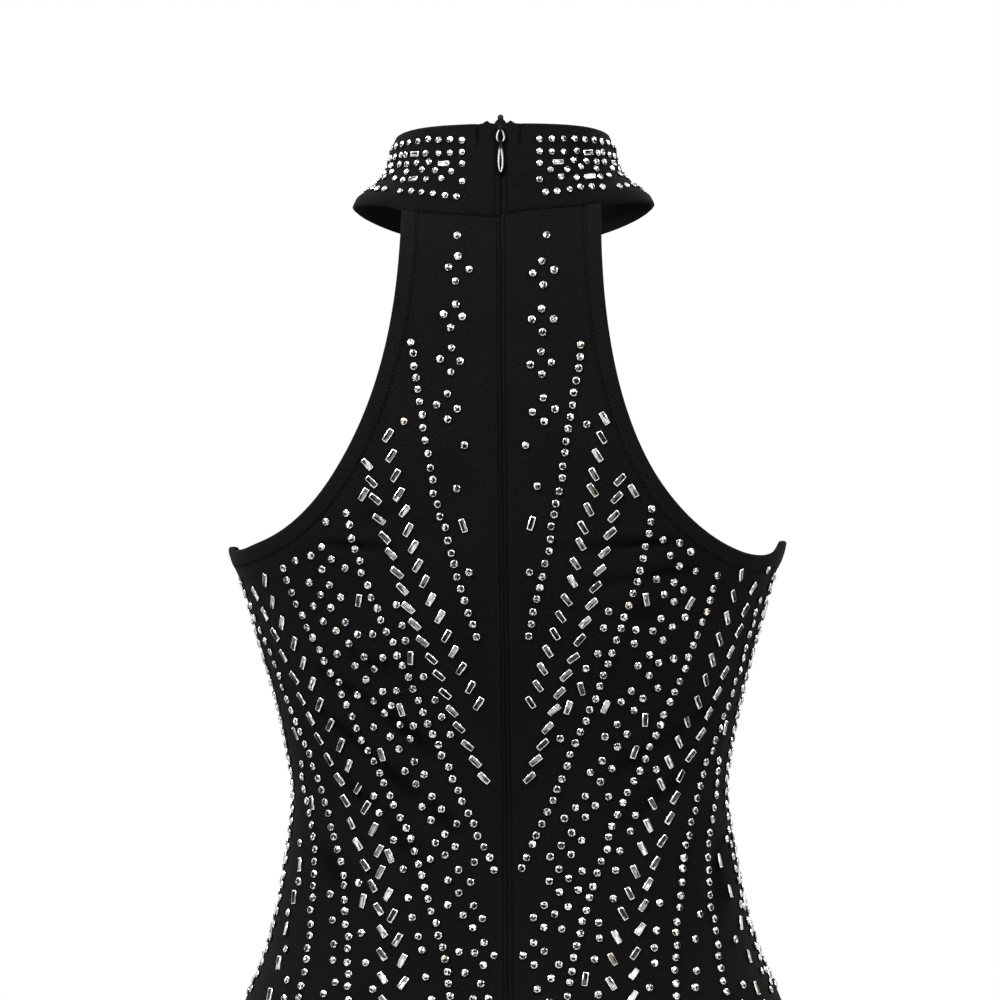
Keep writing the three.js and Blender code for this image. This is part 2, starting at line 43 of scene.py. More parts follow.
# ---- Panels ----
# Two back and two front panels of matte black jersey, each 1.2 mm thick, stretched smooth over
# a figure from the collar's seam to the hem, with soft pulls at the underarm, waist and knee.
TRUNK_NAMES = ("level", "half", "back", "front", "square")
TRUNK = np.array([
    (45, 55, 45, 60, 2), (36, 57.6, 47.2, 60, 2), (26, 59.4, 49.7, 60.2, 2),
    (18, 62.6, 51.7, 60.6, 2), (11, 68.5, 53.4, 61.2, 2), (5, 75.5, 54.8, 61.7, 2),
    (0, 78.5, 56, 62, 2), (-17, 104, 62, 67, 2.1), (-47, 132, 71, 80, 2.2),
    (-87, 149, 79, 99, 2.2), (-127, 152, 84, 115, 2.2), (-175, 144.2, 85, 121, 2.2),
    (-192, 137.4, 83.5, 118, 2.2), (-217, 130.3, 80, 110, 2.2), (-247, 122, 75, 99, 2.2),
    (-277, 115.5, 71, 91, 2.2), (-300, 112.8, 69.5, 88, 2.2), (-327, 116, 71, 90, 2.2),
    (-357, 121.3, 76, 95, 2.2), (-382, 128.4, 82, 99, 2.2), (-404, 137.8, 88, 102, 2.2),
    (-438, 151, 98, 104, 2.2), (-475, 160.5, 106, 103, 2.2), (-510, 165, 109, 100, 2.2),
    (-550, 166, 105, 96, 2.2), (-585, 164.5, 98, 92, 2.2),
], float)
LEG_NAMES = ("level", "apart", "ahead", "half", "back", "front")
LEG = np.array([
    (-425, 0.2, 0, 72.5, 94, 103), (-470, 0.2, 0, 79.6, 104, 103), (-510, 0.2, 0, 82.4, 107, 99),
    (-550, 0.2, 0, 82.8, 103, 95), (-585, 0.4, 0, 82.2, 96, 91), (-640, 6, 2, 78, 86, 84),
    (-720, 17.5, 4, 69.5, 75, 76), (-800, 27, 6, 62, 67, 69), (-880, 34, 6, 57, 61, 63),
    (-960, 36, 2, 57, 62, 60), (-1050, 35, -2, 60, 64, 60), (-1170, 32, -4, 66, 68, 65),
    (-1290, 29, -5, 72, 74, 71),
], float)
COLLAR_HEIGHT, SEAT, HIP, CROTCH, HEM = 45, -425, -470, -585, -1290
STRAP = {"back": 51.5, "front": 49.5}
ARMHOLE_DEPTH = {"back": 175.5, "front": 179, "side": 171}
ARMHOLE_UPTURN, ARMHOLE_ROUNDNESS, UNDERARM_HALF = 0.72, 2.2, 144
WORN_ASKEW = {"left": {"back": 4.2, "front": -1.5}, "right": {"back": -4.6, "front": -6}}
BAND_WIDE = 9
CLOTH = 1.2
HEM_TURNED = 20
ROW_DIP = 84  # how much lower than the underarm the rows that end there start at the centre


def ease(value, low, high):
    share = np.clip((value - low) / (high - low), 0, 1)
    return share * share * (3 - 2 * share)


def mix(a, b, share):
    return a + (b - a) * share


def hump(value, centre, wide):
    """A smooth rise to 1 at the centre; at wide to either side it has sunk to 0.37."""
    return np.exp(-(((value - centre) / wide) ** 2))


def unit(vectors):
    return vectors / np.linalg.norm(vectors, axis=-1, keepdims=True)


def travelled(points):
    """How far along a line of points each one lies."""
    return np.concatenate([[0], np.cumsum(np.linalg.norm(np.diff(points, axis=0), axis=1))])


def column(table, names, name):
    rows = table[::-1]
    at, value = rows[:, 0], rows[:, names.index(name)]
    last = len(at) - 1
    low = np.maximum(np.arange(last + 1) - 1, 0)
    high = np.minimum(np.arange(last + 1) + 1, last)
    slope = (value[high] - value[low]) / (at[high] - at[low])

    def curve(level):
        inside = np.clip(level, at[0], at[-1])
        i = np.clip(np.searchsorted(at, inside, side="right") - 1, 0, last - 1)
        step = at[i + 1] - at[i]
        s = (inside - at[i]) / step
        rise = s * s * (3 - 2 * s)
        ends = value[i] * (1 - rise) + value[i + 1] * rise
        return ends + step * s * (1 - s) * (slope[i] * (1 - s) - slope[i + 1] * s)

    return curve


trunk = {name: column(TRUNK, TRUNK_NAMES, name) for name in TRUNK_NAMES[1:]}
leg = {name: column(LEG, LEG_NAMES, name) for name in LEG_NAMES[1:]}


def neck_lift(angle, level):
    forward = (1 - np.cos(angle)) / 2
    lower = 8.75 * np.sin(angle) ** 2 - 15 * forward**2
    upper = -0.5 * np.sin(angle) ** 2 - 20 * forward**2
    return np.where(level < 0, lower * ease(level, -100, 0), mix(lower, upper, level / COLLAR_HEIGHT))


def figure(turn, level):
    """Points of the figure's surface. turn: 0 centre back or inseam, 0.5 side, 1 centre front."""
    turn, level = np.broadcast_arrays(np.asarray(turn, float), np.asarray(level, float))
    angle = np.pi * turn
    sin, cos = np.sin(angle), np.cos(angle)
    n = trunk["square"](level)
    reach = (np.abs(sin) ** n + np.abs(cos) ** n) ** (-1 / n)
    depth = np.where(cos > 0, trunk["back"](level), trunk["front"](level))
    body = np.stack(
        [trunk["half"](level) * sin * reach, depth * cos * reach, level + neck_lift(angle, level)], -1
    )
    leg_cos, leg_sin = np.cos(2 * angle), np.sin(2 * angle)
    leg_depth = np.where(turn < 0.5, leg["back"](level), leg["front"](level))
    across = leg["apart"](level) + leg["half"](level) * (1 - leg_cos)
    limb = np.stack([across, leg_depth * leg_sin - leg["ahead"](level), level], -1)
    inward = np.maximum(0, leg_cos)
    opened = limb.copy()
    outer = np.where(turn < 0.5, leg_depth, -leg_depth) * np.sqrt(1 - 0.12 * inward**2)
    opened[..., 1] = np.where(inward > 0, outer, opened[..., 1])
    section = mix(body, opened, (1 - ease(level, CROTCH, SEAT))[..., None])
    left = np.clip((level - CROTCH) / (HIP - CROTCH), 0, 1)
    from_seam = ease(np.minimum(turn, 1 - turn), 0, 0.2)
    joined = mix(np.sqrt(np.clip(1 - (1 - left) ** 2, 0, 1)), ease(left, 0, 1), from_seam)
    return mix(limb, section, joined[..., None])


def outward(turn, level):
    turn = np.clip(turn, 1e-4, 1 - 1e-4)
    round_ = figure(turn + 1e-4, level) - figure(turn - 1e-4, level)
    up = figure(turn, level + 0.05) - figure(turn, level - 0.05)
    return unit(np.cross(up, round_))


# Each fold of a panel: its two ends as across and level, half width, depth, and the height of
# the ridge that stands along its upper edge.
FOLD_NAMES = ("x0", "x1", "z0", "z1", "wide", "deep", "ridge")
FOLDS = {
    ("left", "back"): [
        (101, 50, -168, -172.5, 1.8, 1.7, 0.8), (78, 49, -156, -153.5, 3.2, 0.9, 0.4),
        (107, 60, -228, -256, 2.8, 1.8, 1), (75, 31, -246, -282, 3.4, 2.2, 1.2),
        (87, 48, -223.5, -238.5, 3.2, 1, 0.6), (101, 64, -250, -283, 3, 1.8, 1),
        (73, 41, -274, -305, 3.6, 2.2, 1.2), (47, 18, -299, -322, 4, 1.4, 0.8),
        (91, 60, -285.5, -311.5, 3.4, 1.3, 0.8), (65, 38, -306, -340, 4, 1.3, 0.8),
        (100, 75, -321, -354, 5, 1.5, 0.8), (40, 112, -622, -606, 9, 3, 1.2),
        (60, 126, -872, -864, 9, 3, 1.2), (62, 120, -912, -902, 8, 2.2, 1),
        (34, 104, -604, -596, 4.5, 1.7, 1.1), (52, 122, -856, -848, 4.5, 1.6, 1.1),
        (66, 124, -888, -884, 4.5, 1.8, 1.2), (60, 112, -926, -918, 4.5, 1.3, 0.9),
    ],
    ("right", "back"): [
        (19, 69, -174.5, -171, 2.6, 1, 0.5), (48, 95, -172, -169.3, 2, 2, 1),
        (33, 74, -192.5, -187.3, 2.4, 1, 0.5), (64, 101, -188.7, -182.5, 2.2, 1.6, 0.9),
        (110, 80, -252, -270.5, 3, 1.5, 0.9), (88, 46, -265.5, -292.5, 3.6, 1.4, 0.8),
        (100, 53, -280, -320.5, 4, 1.3, 0.8), (109.8, 105, -312, -372, 6, 2.2, 1),
        (58, 85, -209.5, -203.8, 5, 1, 0.5), (40, 112, -620, -608, 9, 3, 1.2),
        (60, 126, -868, -866, 9, 3, 1.2), (62, 120, -906, -910, 8, 2.2, 1),
        (36, 110, -601, -598, 4.5, 1.6, 1.1), (56, 124, -850, -853, 4.5, 1.6, 1.1),
        (62, 118, -886, -890, 4.5, 1.8, 1.2), (66, 120, -922, -928, 4.5, 1.3, 0.9),
    ],
    ("left", "front"): [
        (98, 54, -232, -258, 4, 1.8, 1), (30, 92, -562, -520, 8, 2.4, 1),
        (96, 50, -186, -180, 3.4, 1.4, 0.7), (96, 62, -254, -278, 4, 1.5, 0.9),
        (90, 52, -282, -304, 4, 1.1, 0.7), (20, 84, -574, -538, 4.5, 1.6, 1),
        (44, 110, -578, -556, 4.5, 1.2, 0.8), (56, 104, -900, -893, 4.5, 1.1, 0.8),
    ],
    ("right", "front"): [
        (100, 50, -236, -262, 4, 1.8, 1), (30, 92, -560, -522, 8, 2.4, 1),
        (98, 44, -190, -182, 3.4, 1.5, 0.7), (98, 58, -262, -284, 4, 1.5, 0.9),
        (88, 54, -286, -308, 4, 1.1, 0.7), (24, 88, -572, -536, 4.5, 1.5, 1),
        (40, 104, -580, -560, 4.5, 1.3, 0.8), (60, 108, -896, -899, 4.5, 1.1, 0.8),
    ],
}


def folded(side, turn, points):
    """How deep the cloth sinks in its folds, in millimetres, and how much painted shade darkens each
    crease's colour, 0 to 1.
    """
    depth, painted_shade = np.zeros(turn.shape), np.zeros(turn.shape)
    for face, here in (("back", turn < 0.5), ("front", turn >= 0.5)):
        for row in FOLDS[side, face]:
            fold = dict(zip(FOLD_NAMES, row))
            ends = np.array([(fold["x0"], fold["z0"]), (fold["x1"], fold["z1"])], float)
            inner, outer = ends[np.argsort(ends[:, 0])]
            along = outer - inner
            length = np.hypot(*along)
            from_inner = points[..., [0, 2]] - inner
            share = (from_inner @ along) / length**2
            away = (from_inner[..., 1] * along[0] - from_inner[..., 0] * along[1]) / length
            fade = np.sin(np.pi * np.clip(share, 0, 1)) ** 1.3
            fade = np.where((share > 0) & (share < 1), fade, 0)
            wide, deep = fold["wide"], fold["deep"]
            trough = 1.3 * deep * hump(away, 0, wide)
            ridge = fold["ridge"] * hump(away, 2.1 * wide, 1.2 * wide)
            depth += np.where(here, fade * (trough - ridge), 0)
            # Painted shade: each crease's colour is darkened most down its middle, and more for deeper
            # folds.
            painted_crease_shade = min(1, deep / 2) * hump(away, 0, 0.8 * wide + 0.5)
            painted_shade = np.maximum(painted_shade, np.where(here, fade * painted_crease_shade, 0))
    return depth, painted_shade


def sag(side, across, turn, level):
    """How far the collar's seam hangs lower at the back, where the zip's weight draws it."""
    across = np.abs(across)
    if side == "left":
        drop = 2.4 * (1 - ease(across, 46, 62)) + hump(across, 0, 12)
    else:
        drop = 1.9 * hump(across, 0, 9)
    return -drop * ease(level, -26, 0) * (1 - ease(level, 0, 20)) * (turn < 0.5)


def cloth(side, turn, level, out):
    """Points out millimetres over the cloth of one side, in metres in the row frame."""
    turn, level = np.broadcast_arrays(np.asarray(turn, float), np.asarray(level, float))
    points = figure(turn, level)
    sunk = folded(side, turn, points)[0]
    points = points + outward(turn, level) * (out - sunk)[..., None]
    points[..., 2] += sag(side, points[..., 0], turn, level)
    points[..., 0] = np.maximum(points[..., 0], 0.04) * (1 if side == "left" else -1)
    return points * MM


def turn_for(distance, turn, level):
    nudge = 1e-4 if turn < 0.5 else -1e-4
    step = np.linalg.norm(figure(turn + nudge, level) - figure(turn, level), axis=-1)
    return distance * 1e-4 / step


def turn_across(across, level, face):
    """The turn at which the trunk is this far across, on its back or front."""
    across, level = np.broadcast_arrays(np.asarray(across, float), np.asarray(level, float))
    near = np.full(across.shape, 0.0 if face == "back" else 1.0)
    far = np.full(across.shape, 0.5)
    for _ in range(34):
        middle = (near + far) / 2
        short = figure(middle, level)[..., 0] < across
        near, far = np.where(short, middle, near), np.where(short, far, middle)
    return (near + far) / 2


def armhole_edge(side, face, share, inset):
    """Turn and level of the armhole's outline. share: 0 at the collar, 1 at the underarm."""
    angle = (np.pi / 2) * (1 - (1 - share) ** 2)
    wide, depth = UNDERARM_HALF - STRAP[face], ARMHOLE_DEPTH[face]
    sin, cos = np.sin(angle), np.cos(angle)
    slant = np.hypot(depth * cos, wide * sin)
    askew = ease(share, -0.05, 0.33) * (1 - ease(share, 0.62, 0.97))
    inset = inset - WORN_ASKEW[side][face] * askew
    across = STRAP[face] + wide * (1 - cos) - inset * depth * cos / slant
    drop = depth * sin ** (2 / ARMHOLE_ROUNDNESS) + inset * wide * sin / slant
    upturn = (depth - ARMHOLE_DEPTH["side"]) * ease(share, ARMHOLE_UPTURN, 1)
    level = upturn - np.maximum(0.05, drop)
    turn = np.where(share >= 1, 0.5, turn_across(across, level, face))
    return turn, level


def even_shares(side, face, places, inset):
    fine = np.linspace(0, 1, 401)
    points = figure(*armhole_edge(side, face, fine, inset))
    lengths = travelled(points)
    return np.interp(places * lengths[-1], lengths, fine)


def only(obj):
    bpy.ops.object.select_all(action="DESELECT")
    obj.select_set(True)
    bpy.context.view_layer.objects.active = obj


def corners_of(obj):
    co = np.empty(len(obj.data.vertices) * 3)
    obj.data.vertices.foreach_get("co", co)
    return co.reshape(-1, 3)


def move_corners(obj, co):
    obj.data.vertices.foreach_set("co", co.ravel())
    obj.data.update()


def grid(name, points, widths, painted_shade=None):
    """A primitive grid laid over rows of points, with its UV map in metres of cloth and, when given, its
    painted shade in the fold attribute.
    """
    rows, columns = points.shape[:2]
    bpy.ops.object.select_all(action="DESELECT")
    bpy.ops.mesh.primitive_grid_add(x_subdivisions=columns - 1, y_subdivisions=rows - 1, size=1)
    obj = bpy.context.object
    obj.name = obj.data.name = name
    flat = corners_of(obj)
    col = np.rint((flat[:, 0] + 0.5) * (columns - 1)).astype(int)
    row = np.rint((flat[:, 1] + 0.5) * (rows - 1)).astype(int)
    move_corners(obj, points[row, col])
    along = travelled(points[:, columns // 2])
    corner = np.empty(len(obj.data.loops), int)
    obj.data.loops.foreach_get("vertex_index", corner)
    uv = np.stack([widths[row, col][corner], -along[row][corner]], 1)
    layer = obj.data.uv_layers[0] if obj.data.uv_layers else obj.data.uv_layers.new()
    layer.name = "cloth"
    layer.data.foreach_set("uv", uv.ravel())
    if painted_shade is not None:
        fold = obj.data.attributes.new("fold", "FLOAT", "POINT")
        fold.data.foreach_set("value", painted_shade[row, col])
    obj.data.update()
    return obj


def face_out(obj, away_from):
    """Turns the grid's faces so that they look away from a line of points."""
    total = 0.0
    for face in obj.data.polygons:
        total += (face.center - away_from(face.center)).dot(face.normal) * face.area
    if total < 0:
        only(obj)
        bpy.ops.object.mode_set(mode="EDIT")
        bpy.ops.mesh.select_all(action="SELECT")
        bpy.ops.mesh.flip_normals()
        bpy.ops.object.mode_set(mode="OBJECT")


def thicken(obj, thickness):
    only(obj)
    solid = obj.modifiers.new("wall", "SOLIDIFY")
    solid.thickness = thickness * MM
    solid.offset = -1
    solid.use_even_offset = False
    bpy.ops.object.modifier_apply(modifier=solid.name)
    bpy.ops.object.shade_smooth()


def row_widths(points):
    steps = np.linalg.norm(np.diff(points, axis=1), axis=2)
    start = np.zeros((points.shape[0], 1))
    return np.concatenate([start, np.cumsum(steps, axis=1)], axis=1)


def linear(hex_colour):
    value = hex_colour.lstrip("#")
    parts = [int(value[i : i + 2], 16) / 255 for i in (0, 2, 4)]
    return tuple(c / 12.92 if c <= 0.04045 else ((c + 0.055) / 1.055) ** 2.4 for c in parts) + (1,)


def material(name, roughness, metallic=0.0, **sockets):
    made = bpy.data.materials.new(name)
    made.use_nodes = True
    shader = made.node_tree.nodes["Principled BSDF"]
    shader.inputs["Roughness"].default_value = roughness
    shader.inputs["Metallic"].default_value = metallic
    for socket, value in sockets.items():
        shader.inputs[socket.replace("_", " ")].default_value = value
    return made


def node(made, kind, settings=None, **values):
    added = made.node_tree.nodes.new(kind)
    for key, value in (settings or {}).items():
        setattr(added, key, value)
    for key, value in values.items():
        place = int(key[1:]) if key[1:].isdigit() else key.replace("_", " ")
        if isinstance(value, bpy.types.NodeSocket):
            made.node_tree.links.new(value, added.inputs[place])
        else:
            added.inputs[place].default_value = value
    return added


def maths(made, operation, *values, clamp=False):
    inputs = {f"_{place}": value for place, value in enumerate(values)}
    settings = {"operation": operation, "use_clamp": clamp}
    return node(made, "ShaderNodeMath", settings, **inputs).outputs[0]


def blend(made, share, first, second, **settings):
    settings["data_type"] = "RGBA"
    return node(made, "ShaderNodeMix", settings, _0=share, _6=first, _7=second).outputs[2]


def link(made, output, socket):
    shader = made.node_tree.nodes["Principled BSDF"]
    made.node_tree.links.new(output, shader.inputs[socket])


def mottled(name, roughness, dark, light, scale, detail, **sockets):
    """A finish whose colour drifts a little between dark and light over the piece."""
    made = material(name, roughness, **sockets)
    place = node(made, "ShaderNodeTexCoord").outputs["Object"]
    noise = node(made, "ShaderNodeTexNoise", Vector=place, Scale=scale, Detail=detail)
    link(made, blend(made, noise.outputs["Fac"], linear(dark), linear(light)), "Base Color")
    return made


WALE, COURSE = 0.00042, 0.00036


def jersey(name, dark, light, roughness):
    """Fine knit: wales 0.42 mm apart, crossed by courses, with faint lint and pilling; its colour
    darkens with painted shade where the fold attribute marks creases.
    """
    made = material(
        name, roughness, Sheen_Weight=0.012, Sheen_Roughness=0.45, Sheen_Tint=linear("#8a868c"),
        Specular_IOR_Level=0.045,
    )
    place = node(made, "ShaderNodeUVMap", {"uv_map": "cloth"}).outputs["UV"]
    split = node(made, "ShaderNodeSeparateXYZ", Vector=place)
    wale = maths(made, "MULTIPLY", split.outputs["X"], 2 * math.pi / WALE)
    course = maths(made, "MULTIPLY", split.outputs["Y"], 2 * math.pi / COURSE)
    slope = maths(made, "COSINE", wale)
    loop = maths(made, "SINE", maths(made, "MULTIPLY_ADD", slope, 1.5, course))
    rib = maths(made, "MULTIPLY_ADD", loop, 0.35, slope)
    lint = node(made, "ShaderNodeTexNoise", Vector=place, Scale=900.0, Detail=3.0).outputs["Fac"]
    cloud = node(made, "ShaderNodeTexNoise", Vector=place, Scale=24.0, Detail=2.0).outputs["Fac"]
    speck = maths(made, "MULTIPLY_ADD", lint, 1.7, -0.5)
    uneven = maths(made, "MULTIPLY_ADD", cloud, 0.35, speck)
    tone = maths(made, "MULTIPLY_ADD", rib, 0.12, uneven, clamp=True)
    colour = blend(made, tone, linear(dark), linear(light))
    # Painted shade: the fold attribute blends the colour towards near black in creases and grooves.
    # Where it falls below zero, it brightens the colour as a painted highlight.
    fold = node(made, "ShaderNodeAttribute", {"attribute_name": "fold"})
    shade = maths(made, "MULTIPLY", fold.outputs["Fac"], 0.78)
    painted_crease_shade = blend(made, shade, colour, linear("#010101"), clamp_factor=False)
    link(made, painted_crease_shade, "Base Color")
    height = maths(made, "MULTIPLY_ADD", rib, 0.3, lint)
    bump = node(made, "ShaderNodeBump", Height=height, Strength=0.35, Distance=0.00012)
    link(made, bump.outputs["Normal"], "Normal")
    return made


panel_jersey = jersey("matte_black_jersey", "#020202", "#161315", 0.9)
ZIP_HALF, SEAM_HALF = 0.3, 0.05
SEWN = 0.08  # how far each edge passes the middle of a sewn seam
BAND_LAP = 0.1  # how far a panel reaches under the armhole's band
# Where columns stand near a panel's edges, in millimetres from the edge.
EDGE = np.array([0, 0.2, 0.45, 0.8, 1.1, 1.35, 1.6, 2, 2.8, 3.8])


def zip_open(level):
    return ease(level, -490, -470)


def panel_rows(side, face):
    """Each row's level at the centre, and its turn and level at the outer edge."""
    lowest = -ARMHOLE_DEPTH["side"] - BAND_WIDE - 0.38 - ROW_DIP
    lapped = BAND_WIDE - BAND_LAP
    top = np.concatenate([[0, 0.0015, 0.004, 0.008, 0.014], np.linspace(0.022, 1, 88)])
    share = even_shares(side, face, top, lapped)
    turn, level = armhole_edge(side, face, share, lapped)
    # Rows stop short of the side where they would cross the underarm's row, under the band.
    clear = level > lowest + (level[-1] - lowest) * np.minimum(turn, 1 - turn) * 2 + 0.6
    share = even_shares(side, face, top * top[np.nonzero(clear)[0][-1]], lapped)
    turn, level = armhole_edge(side, face, np.append(share, 1), lapped)
    centre = mix(-0.05, lowest, np.append(top * 0.992, 1))
    body = np.linspace(0, 1, 131)[1:]
    crotch = 1 - np.cos(np.pi / 2 * np.linspace(0, 1, 25)[1:]) ** 2
    legs = np.linspace(CROTCH, HEM + 4, 120)[1:]
    hem = HEM + np.array([2.4, 1.2, 0.5, 0.1, 0])
    below = np.concatenate([mix(HIP, CROTCH, crotch), legs, hem])
    centre = np.concatenate([centre, mix(lowest, HIP, body), below])
    level = np.concatenate([level, mix(level[-1], HIP, body), below])
    turn = np.concatenate([turn, np.full(len(level) - len(turn), 0.5)])
    return centre, turn, level


def panel_points(side, face):
    """A panel's rows of points, and at each how much painted shade darkens its creases and the groove
    beside the zip's edge.
    """
    back = face == "back"
    centre_level, turn, level = panel_rows(side, face)
    zipped = zip_open(centre_level) * back
    centre = turn_for(mix(SEAM_HALF, ZIP_HALF, zipped), 0, centre_level)
    seam = np.where(turn == 0.5, turn_for(-SEWN, 0.5, level), 0)
    edge = (turn if back else 1 - turn) - seam
    guide = np.linspace(0, 1, 13)
    turns = mix(centre[:, None], edge[:, None], guide)
    levels = mix(centre_level[:, None], level[:, None], guide)
    sample = figure(turns if back else 1 - turns, levels)
    length = np.linalg.norm(np.diff(sample, axis=1), axis=2).sum(1)[:, None]
    inner = np.linspace(0, 1, 66 if back else 40)[1:-1]
    inner = EDGE[-1] + inner[None, :] * (length - 2 * EDGE[-1])
    near = np.broadcast_to(EDGE, (len(length), len(EDGE)))
    distance = np.concatenate([near, inner, length - EDGE[::-1][None, :]], axis=1)
    turns = mix(centre[:, None], edge[:, None], distance / length)
    levels = mix(centre_level[:, None], level[:, None], distance / length)
    turns = turns if back else 1 - turns
    zip_edge = zipped[:, None]
    # The cloth rounds inward at each edge, rolls over the zip and dips at the hem's stitches.
    out = -0.9 * hump(distance, 0, mix(0.75, 0.34, zip_edge))
    out = out + 0.12 * zip_edge * hump(distance, 0.7, 0.35)
    out = out - 0.4 * zip_edge * hump(distance, 1.45, 0.28)
    at_band = turn[:, None] != 0.5
    sunk, wide = np.where(at_band, 0.4, 0.8), np.where(at_band, 0.5, 0.75)
    out = out - sunk * hump(length - distance, 0, wide)
    out = out - 0.5 * hump(levels, 0, 0.9)
    out = out - 0.25 * hump(levels, HEM + HEM_TURNED, 0.8)
    out = out - 0.4 * hump(levels, HEM, 0.5)
    painted_shade = folded(side, turns, figure(turns, levels))[1]
    # Painted shade in the groove 1.6 mm in from the zip's edge, and a painted highlight on the rolled
    # edge at 0.8 mm.
    painted_shade = painted_shade + zip_edge * (0.9 * hump(distance, 1.6, 0.4) - 0.35 * hump(distance, 0.8, 0.35))
    points = cloth(side, turns, levels, out)
    sewn = ease(levels[:, 0], CROTCH - 5, CROTCH + 4) * (1 - zipped)
    past = (-SEWN if side == "left" else SEWN) * MM
    points[:, 0, 0] = mix(points[:, 0, 0], past, sewn)
    return points, painted_shade


def body_line(point):
    """The nearest point of a line down the trunk's middle, and down each leg's."""
    x = 0.0 if point.z > CROTCH * MM else math.copysign(0.088, point.x)
    return type(point)((x, 0.0, point.z))


for side in ("left", "right"):
    for face in ("back", "front"):
        points, painted_shade = panel_points(side, face)
        panel = grid(f"panel_{face}_{side}", points, row_widths(points), painted_shade)
        face_out(panel, body_line)
        thicken(panel, CLOTH)
        panel.data.materials.append(panel_jersey)
        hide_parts(f"{face}_{side}")
        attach(panel, "garment")

# ---- Armhole bands ----
# A strip of doubled jersey 9 mm wide round each armhole, soft at its folded edge and sewn on
# with a seam that lies in a groove; a row of black topstitching follows the seam.
band_jersey = jersey("doubled_black_jersey", "#020202", "#181516", 0.9)
BAND_WALL = 2
BAND_ACROSS = np.array([0, 0.25, 0.7, 1.4, 2.6, 4.2, 5.8, 7, 7.5, 8, 8.4, 8.75, 9])


def band_line(side, face, inset, out):
    shares = even_shares(side, face, np.linspace(0, 1, 90), 4)
    return cloth(side, *armhole_edge(side, face, shares, inset), out)


def band_points(side, insets, outs):
    """Rows of points along the band, from the collar by the underarm to the collar."""
    columns = []
    for inset, out in zip(insets, outs):
        back, front = (band_line(side, face, inset, out) for face in ("back", "front"))
        columns.append(np.concatenate([back, front[::-1][1:]]))
    return np.stack(columns, 1)


STITCH = {"long": 1.4, "pitch": 2.3, "thick": 0.6, "inset": 8}
band_out = 0.35 - 1.1 * hump(BAND_ACROSS, 0, 0.55) - 0.6 * hump(BAND_ACROSS, BAND_WIDE, 0.35)
band_out = band_out - 0.15 * hump(BAND_ACROSS, STITCH["inset"], 0.5)


def template(obj):
    """Takes an object away and returns its corners and faces, to be copied many times."""
    co, mesh = corners_of(obj), obj.data
    faces = [tuple(face.vertices) for face in mesh.polygons]
    bpy.data.objects.remove(obj)
    bpy.data.meshes.remove(mesh)
    return co, faces


def rod_template(length, thick):
    """A short thread: a slim six-sided rod with rounded ends, lying along Y."""
    bpy.ops.object.select_all(action="DESELECT")
    bpy.ops.mesh.primitive_uv_sphere_add(segments=6, ring_count=4, radius=0.5)
    co, faces = template(bpy.context.object)
    return np.stack([co[:, 0] * thick, co[:, 2] * length, co[:, 1] * thick * 0.8], 1), faces


def scatter(name, template, frames):
    """One mesh of many copies of a template. Each frame is a place and three axes, in metres."""
    co, faces = template
    place, axes = frames
    points = place[:, None, :] + np.einsum("vk,nkc->nvc", co * MM, axes)
    count = len(co)
    sizes = np.array([len(face) for face in faces])
    corners = np.concatenate([np.array(face) for face in faces])
    corners = (corners[None, :] + count * np.arange(len(place))[:, None]).ravel()
    sizes = np.tile(sizes, len(place))
    mesh = bpy.data.meshes.new(name)
    mesh.vertices.add(points.shape[0] * count)
    mesh.vertices.foreach_set("co", points.ravel())
    mesh.loops.add(len(corners))
    mesh.loops.foreach_set("vertex_index", corners)
    mesh.polygons.add(len(sizes))
    mesh.polygons.foreach_set("loop_start", np.concatenate([[0], np.cumsum(sizes)[:-1]]))
    mesh.update(calc_edges=True)
    mesh.validate()
    obj = bpy.data.objects.new(name, mesh)
    bpy.context.collection.objects.link(obj)
    return obj


def frames_along(line, normals, pitch):
    """Evenly spaced frames on a line of points: Y runs along it and Z stands out of the cloth."""
    at = travelled(line)
    where = np.arange(pitch * MM / 2, at[-1], pitch * MM)

    def between(values, places):
        return np.stack([np.interp(places, at, values[:, k]) for k in range(3)], 1)

    step = 0.4 * MM
    along = unit(between(line, where + step) - between(line, where - step))
    across = unit(np.cross(along, between(normals, where)))
    return between(line, where), np.stack([across, along, np.cross(across, along)], 1)


thread = mottled(
    "black_polyester_thread", 0.9, "#010101", "#070607", 2600.0, 2.0, Specular_IOR_Level=0.0
)
thread_rod = rod_template(STITCH["long"], STITCH["thick"])

for side in ("left", "right"):
    points = band_points(side, BAND_ACROSS, band_out)
    band = grid(f"band_{side}", points, row_widths(points))
    face_out(band, body_line)
    thicken(band, BAND_WALL - 0.2)
    band.data.materials.append(band_jersey)
    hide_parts(f"armhole_band_{side}")
    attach(band, "garment")
    rows = band_points(side, [STITCH["inset"], STITCH["inset"]], [0.2, 1.2])
    frames = frames_along(rows[:, 0], (rows[:, 1] - rows[:, 0]) / MM, STITCH["pitch"])
    stitches = scatter(f"band_stitches_{side}", thread_rod, frames)
    stitches.data.materials.append(thread)
    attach(stitches, "garment")

# ---- Hems ----
# Each leg ends in a hem turned up 20 mm and held by two rows of topstitching.
for side in ("left", "right"):
    rings = []
    for height in (HEM_TURNED - 1, HEM_TURNED + 2):
        turn = np.linspace(0.004, 0.996, 160)
        level = np.full(160, HEM + height, float)
        line = cloth(side, turn, level, 0.05)
        rings.append(frames_along(line, (cloth(side, turn, level, 1.05) - line) / MM, 3.0))
    both = tuple(np.concatenate([ring[k] for ring in rings]) for k in range(2))
    hem = scatter(f"hem_stitches_{side}", thread_rod, both)
    hem.data.materials.append(thread)
    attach(hem, "garment")

# ---- Collar ----
# A stand collar of doubled jersey, open at the zip, that turns out at its foot over the
# shoulders. Its folded top edge ripples a little where it is sewn to the zip.
COLLAR_PROUD, COLLAR_WALL = 0.6, 2.4


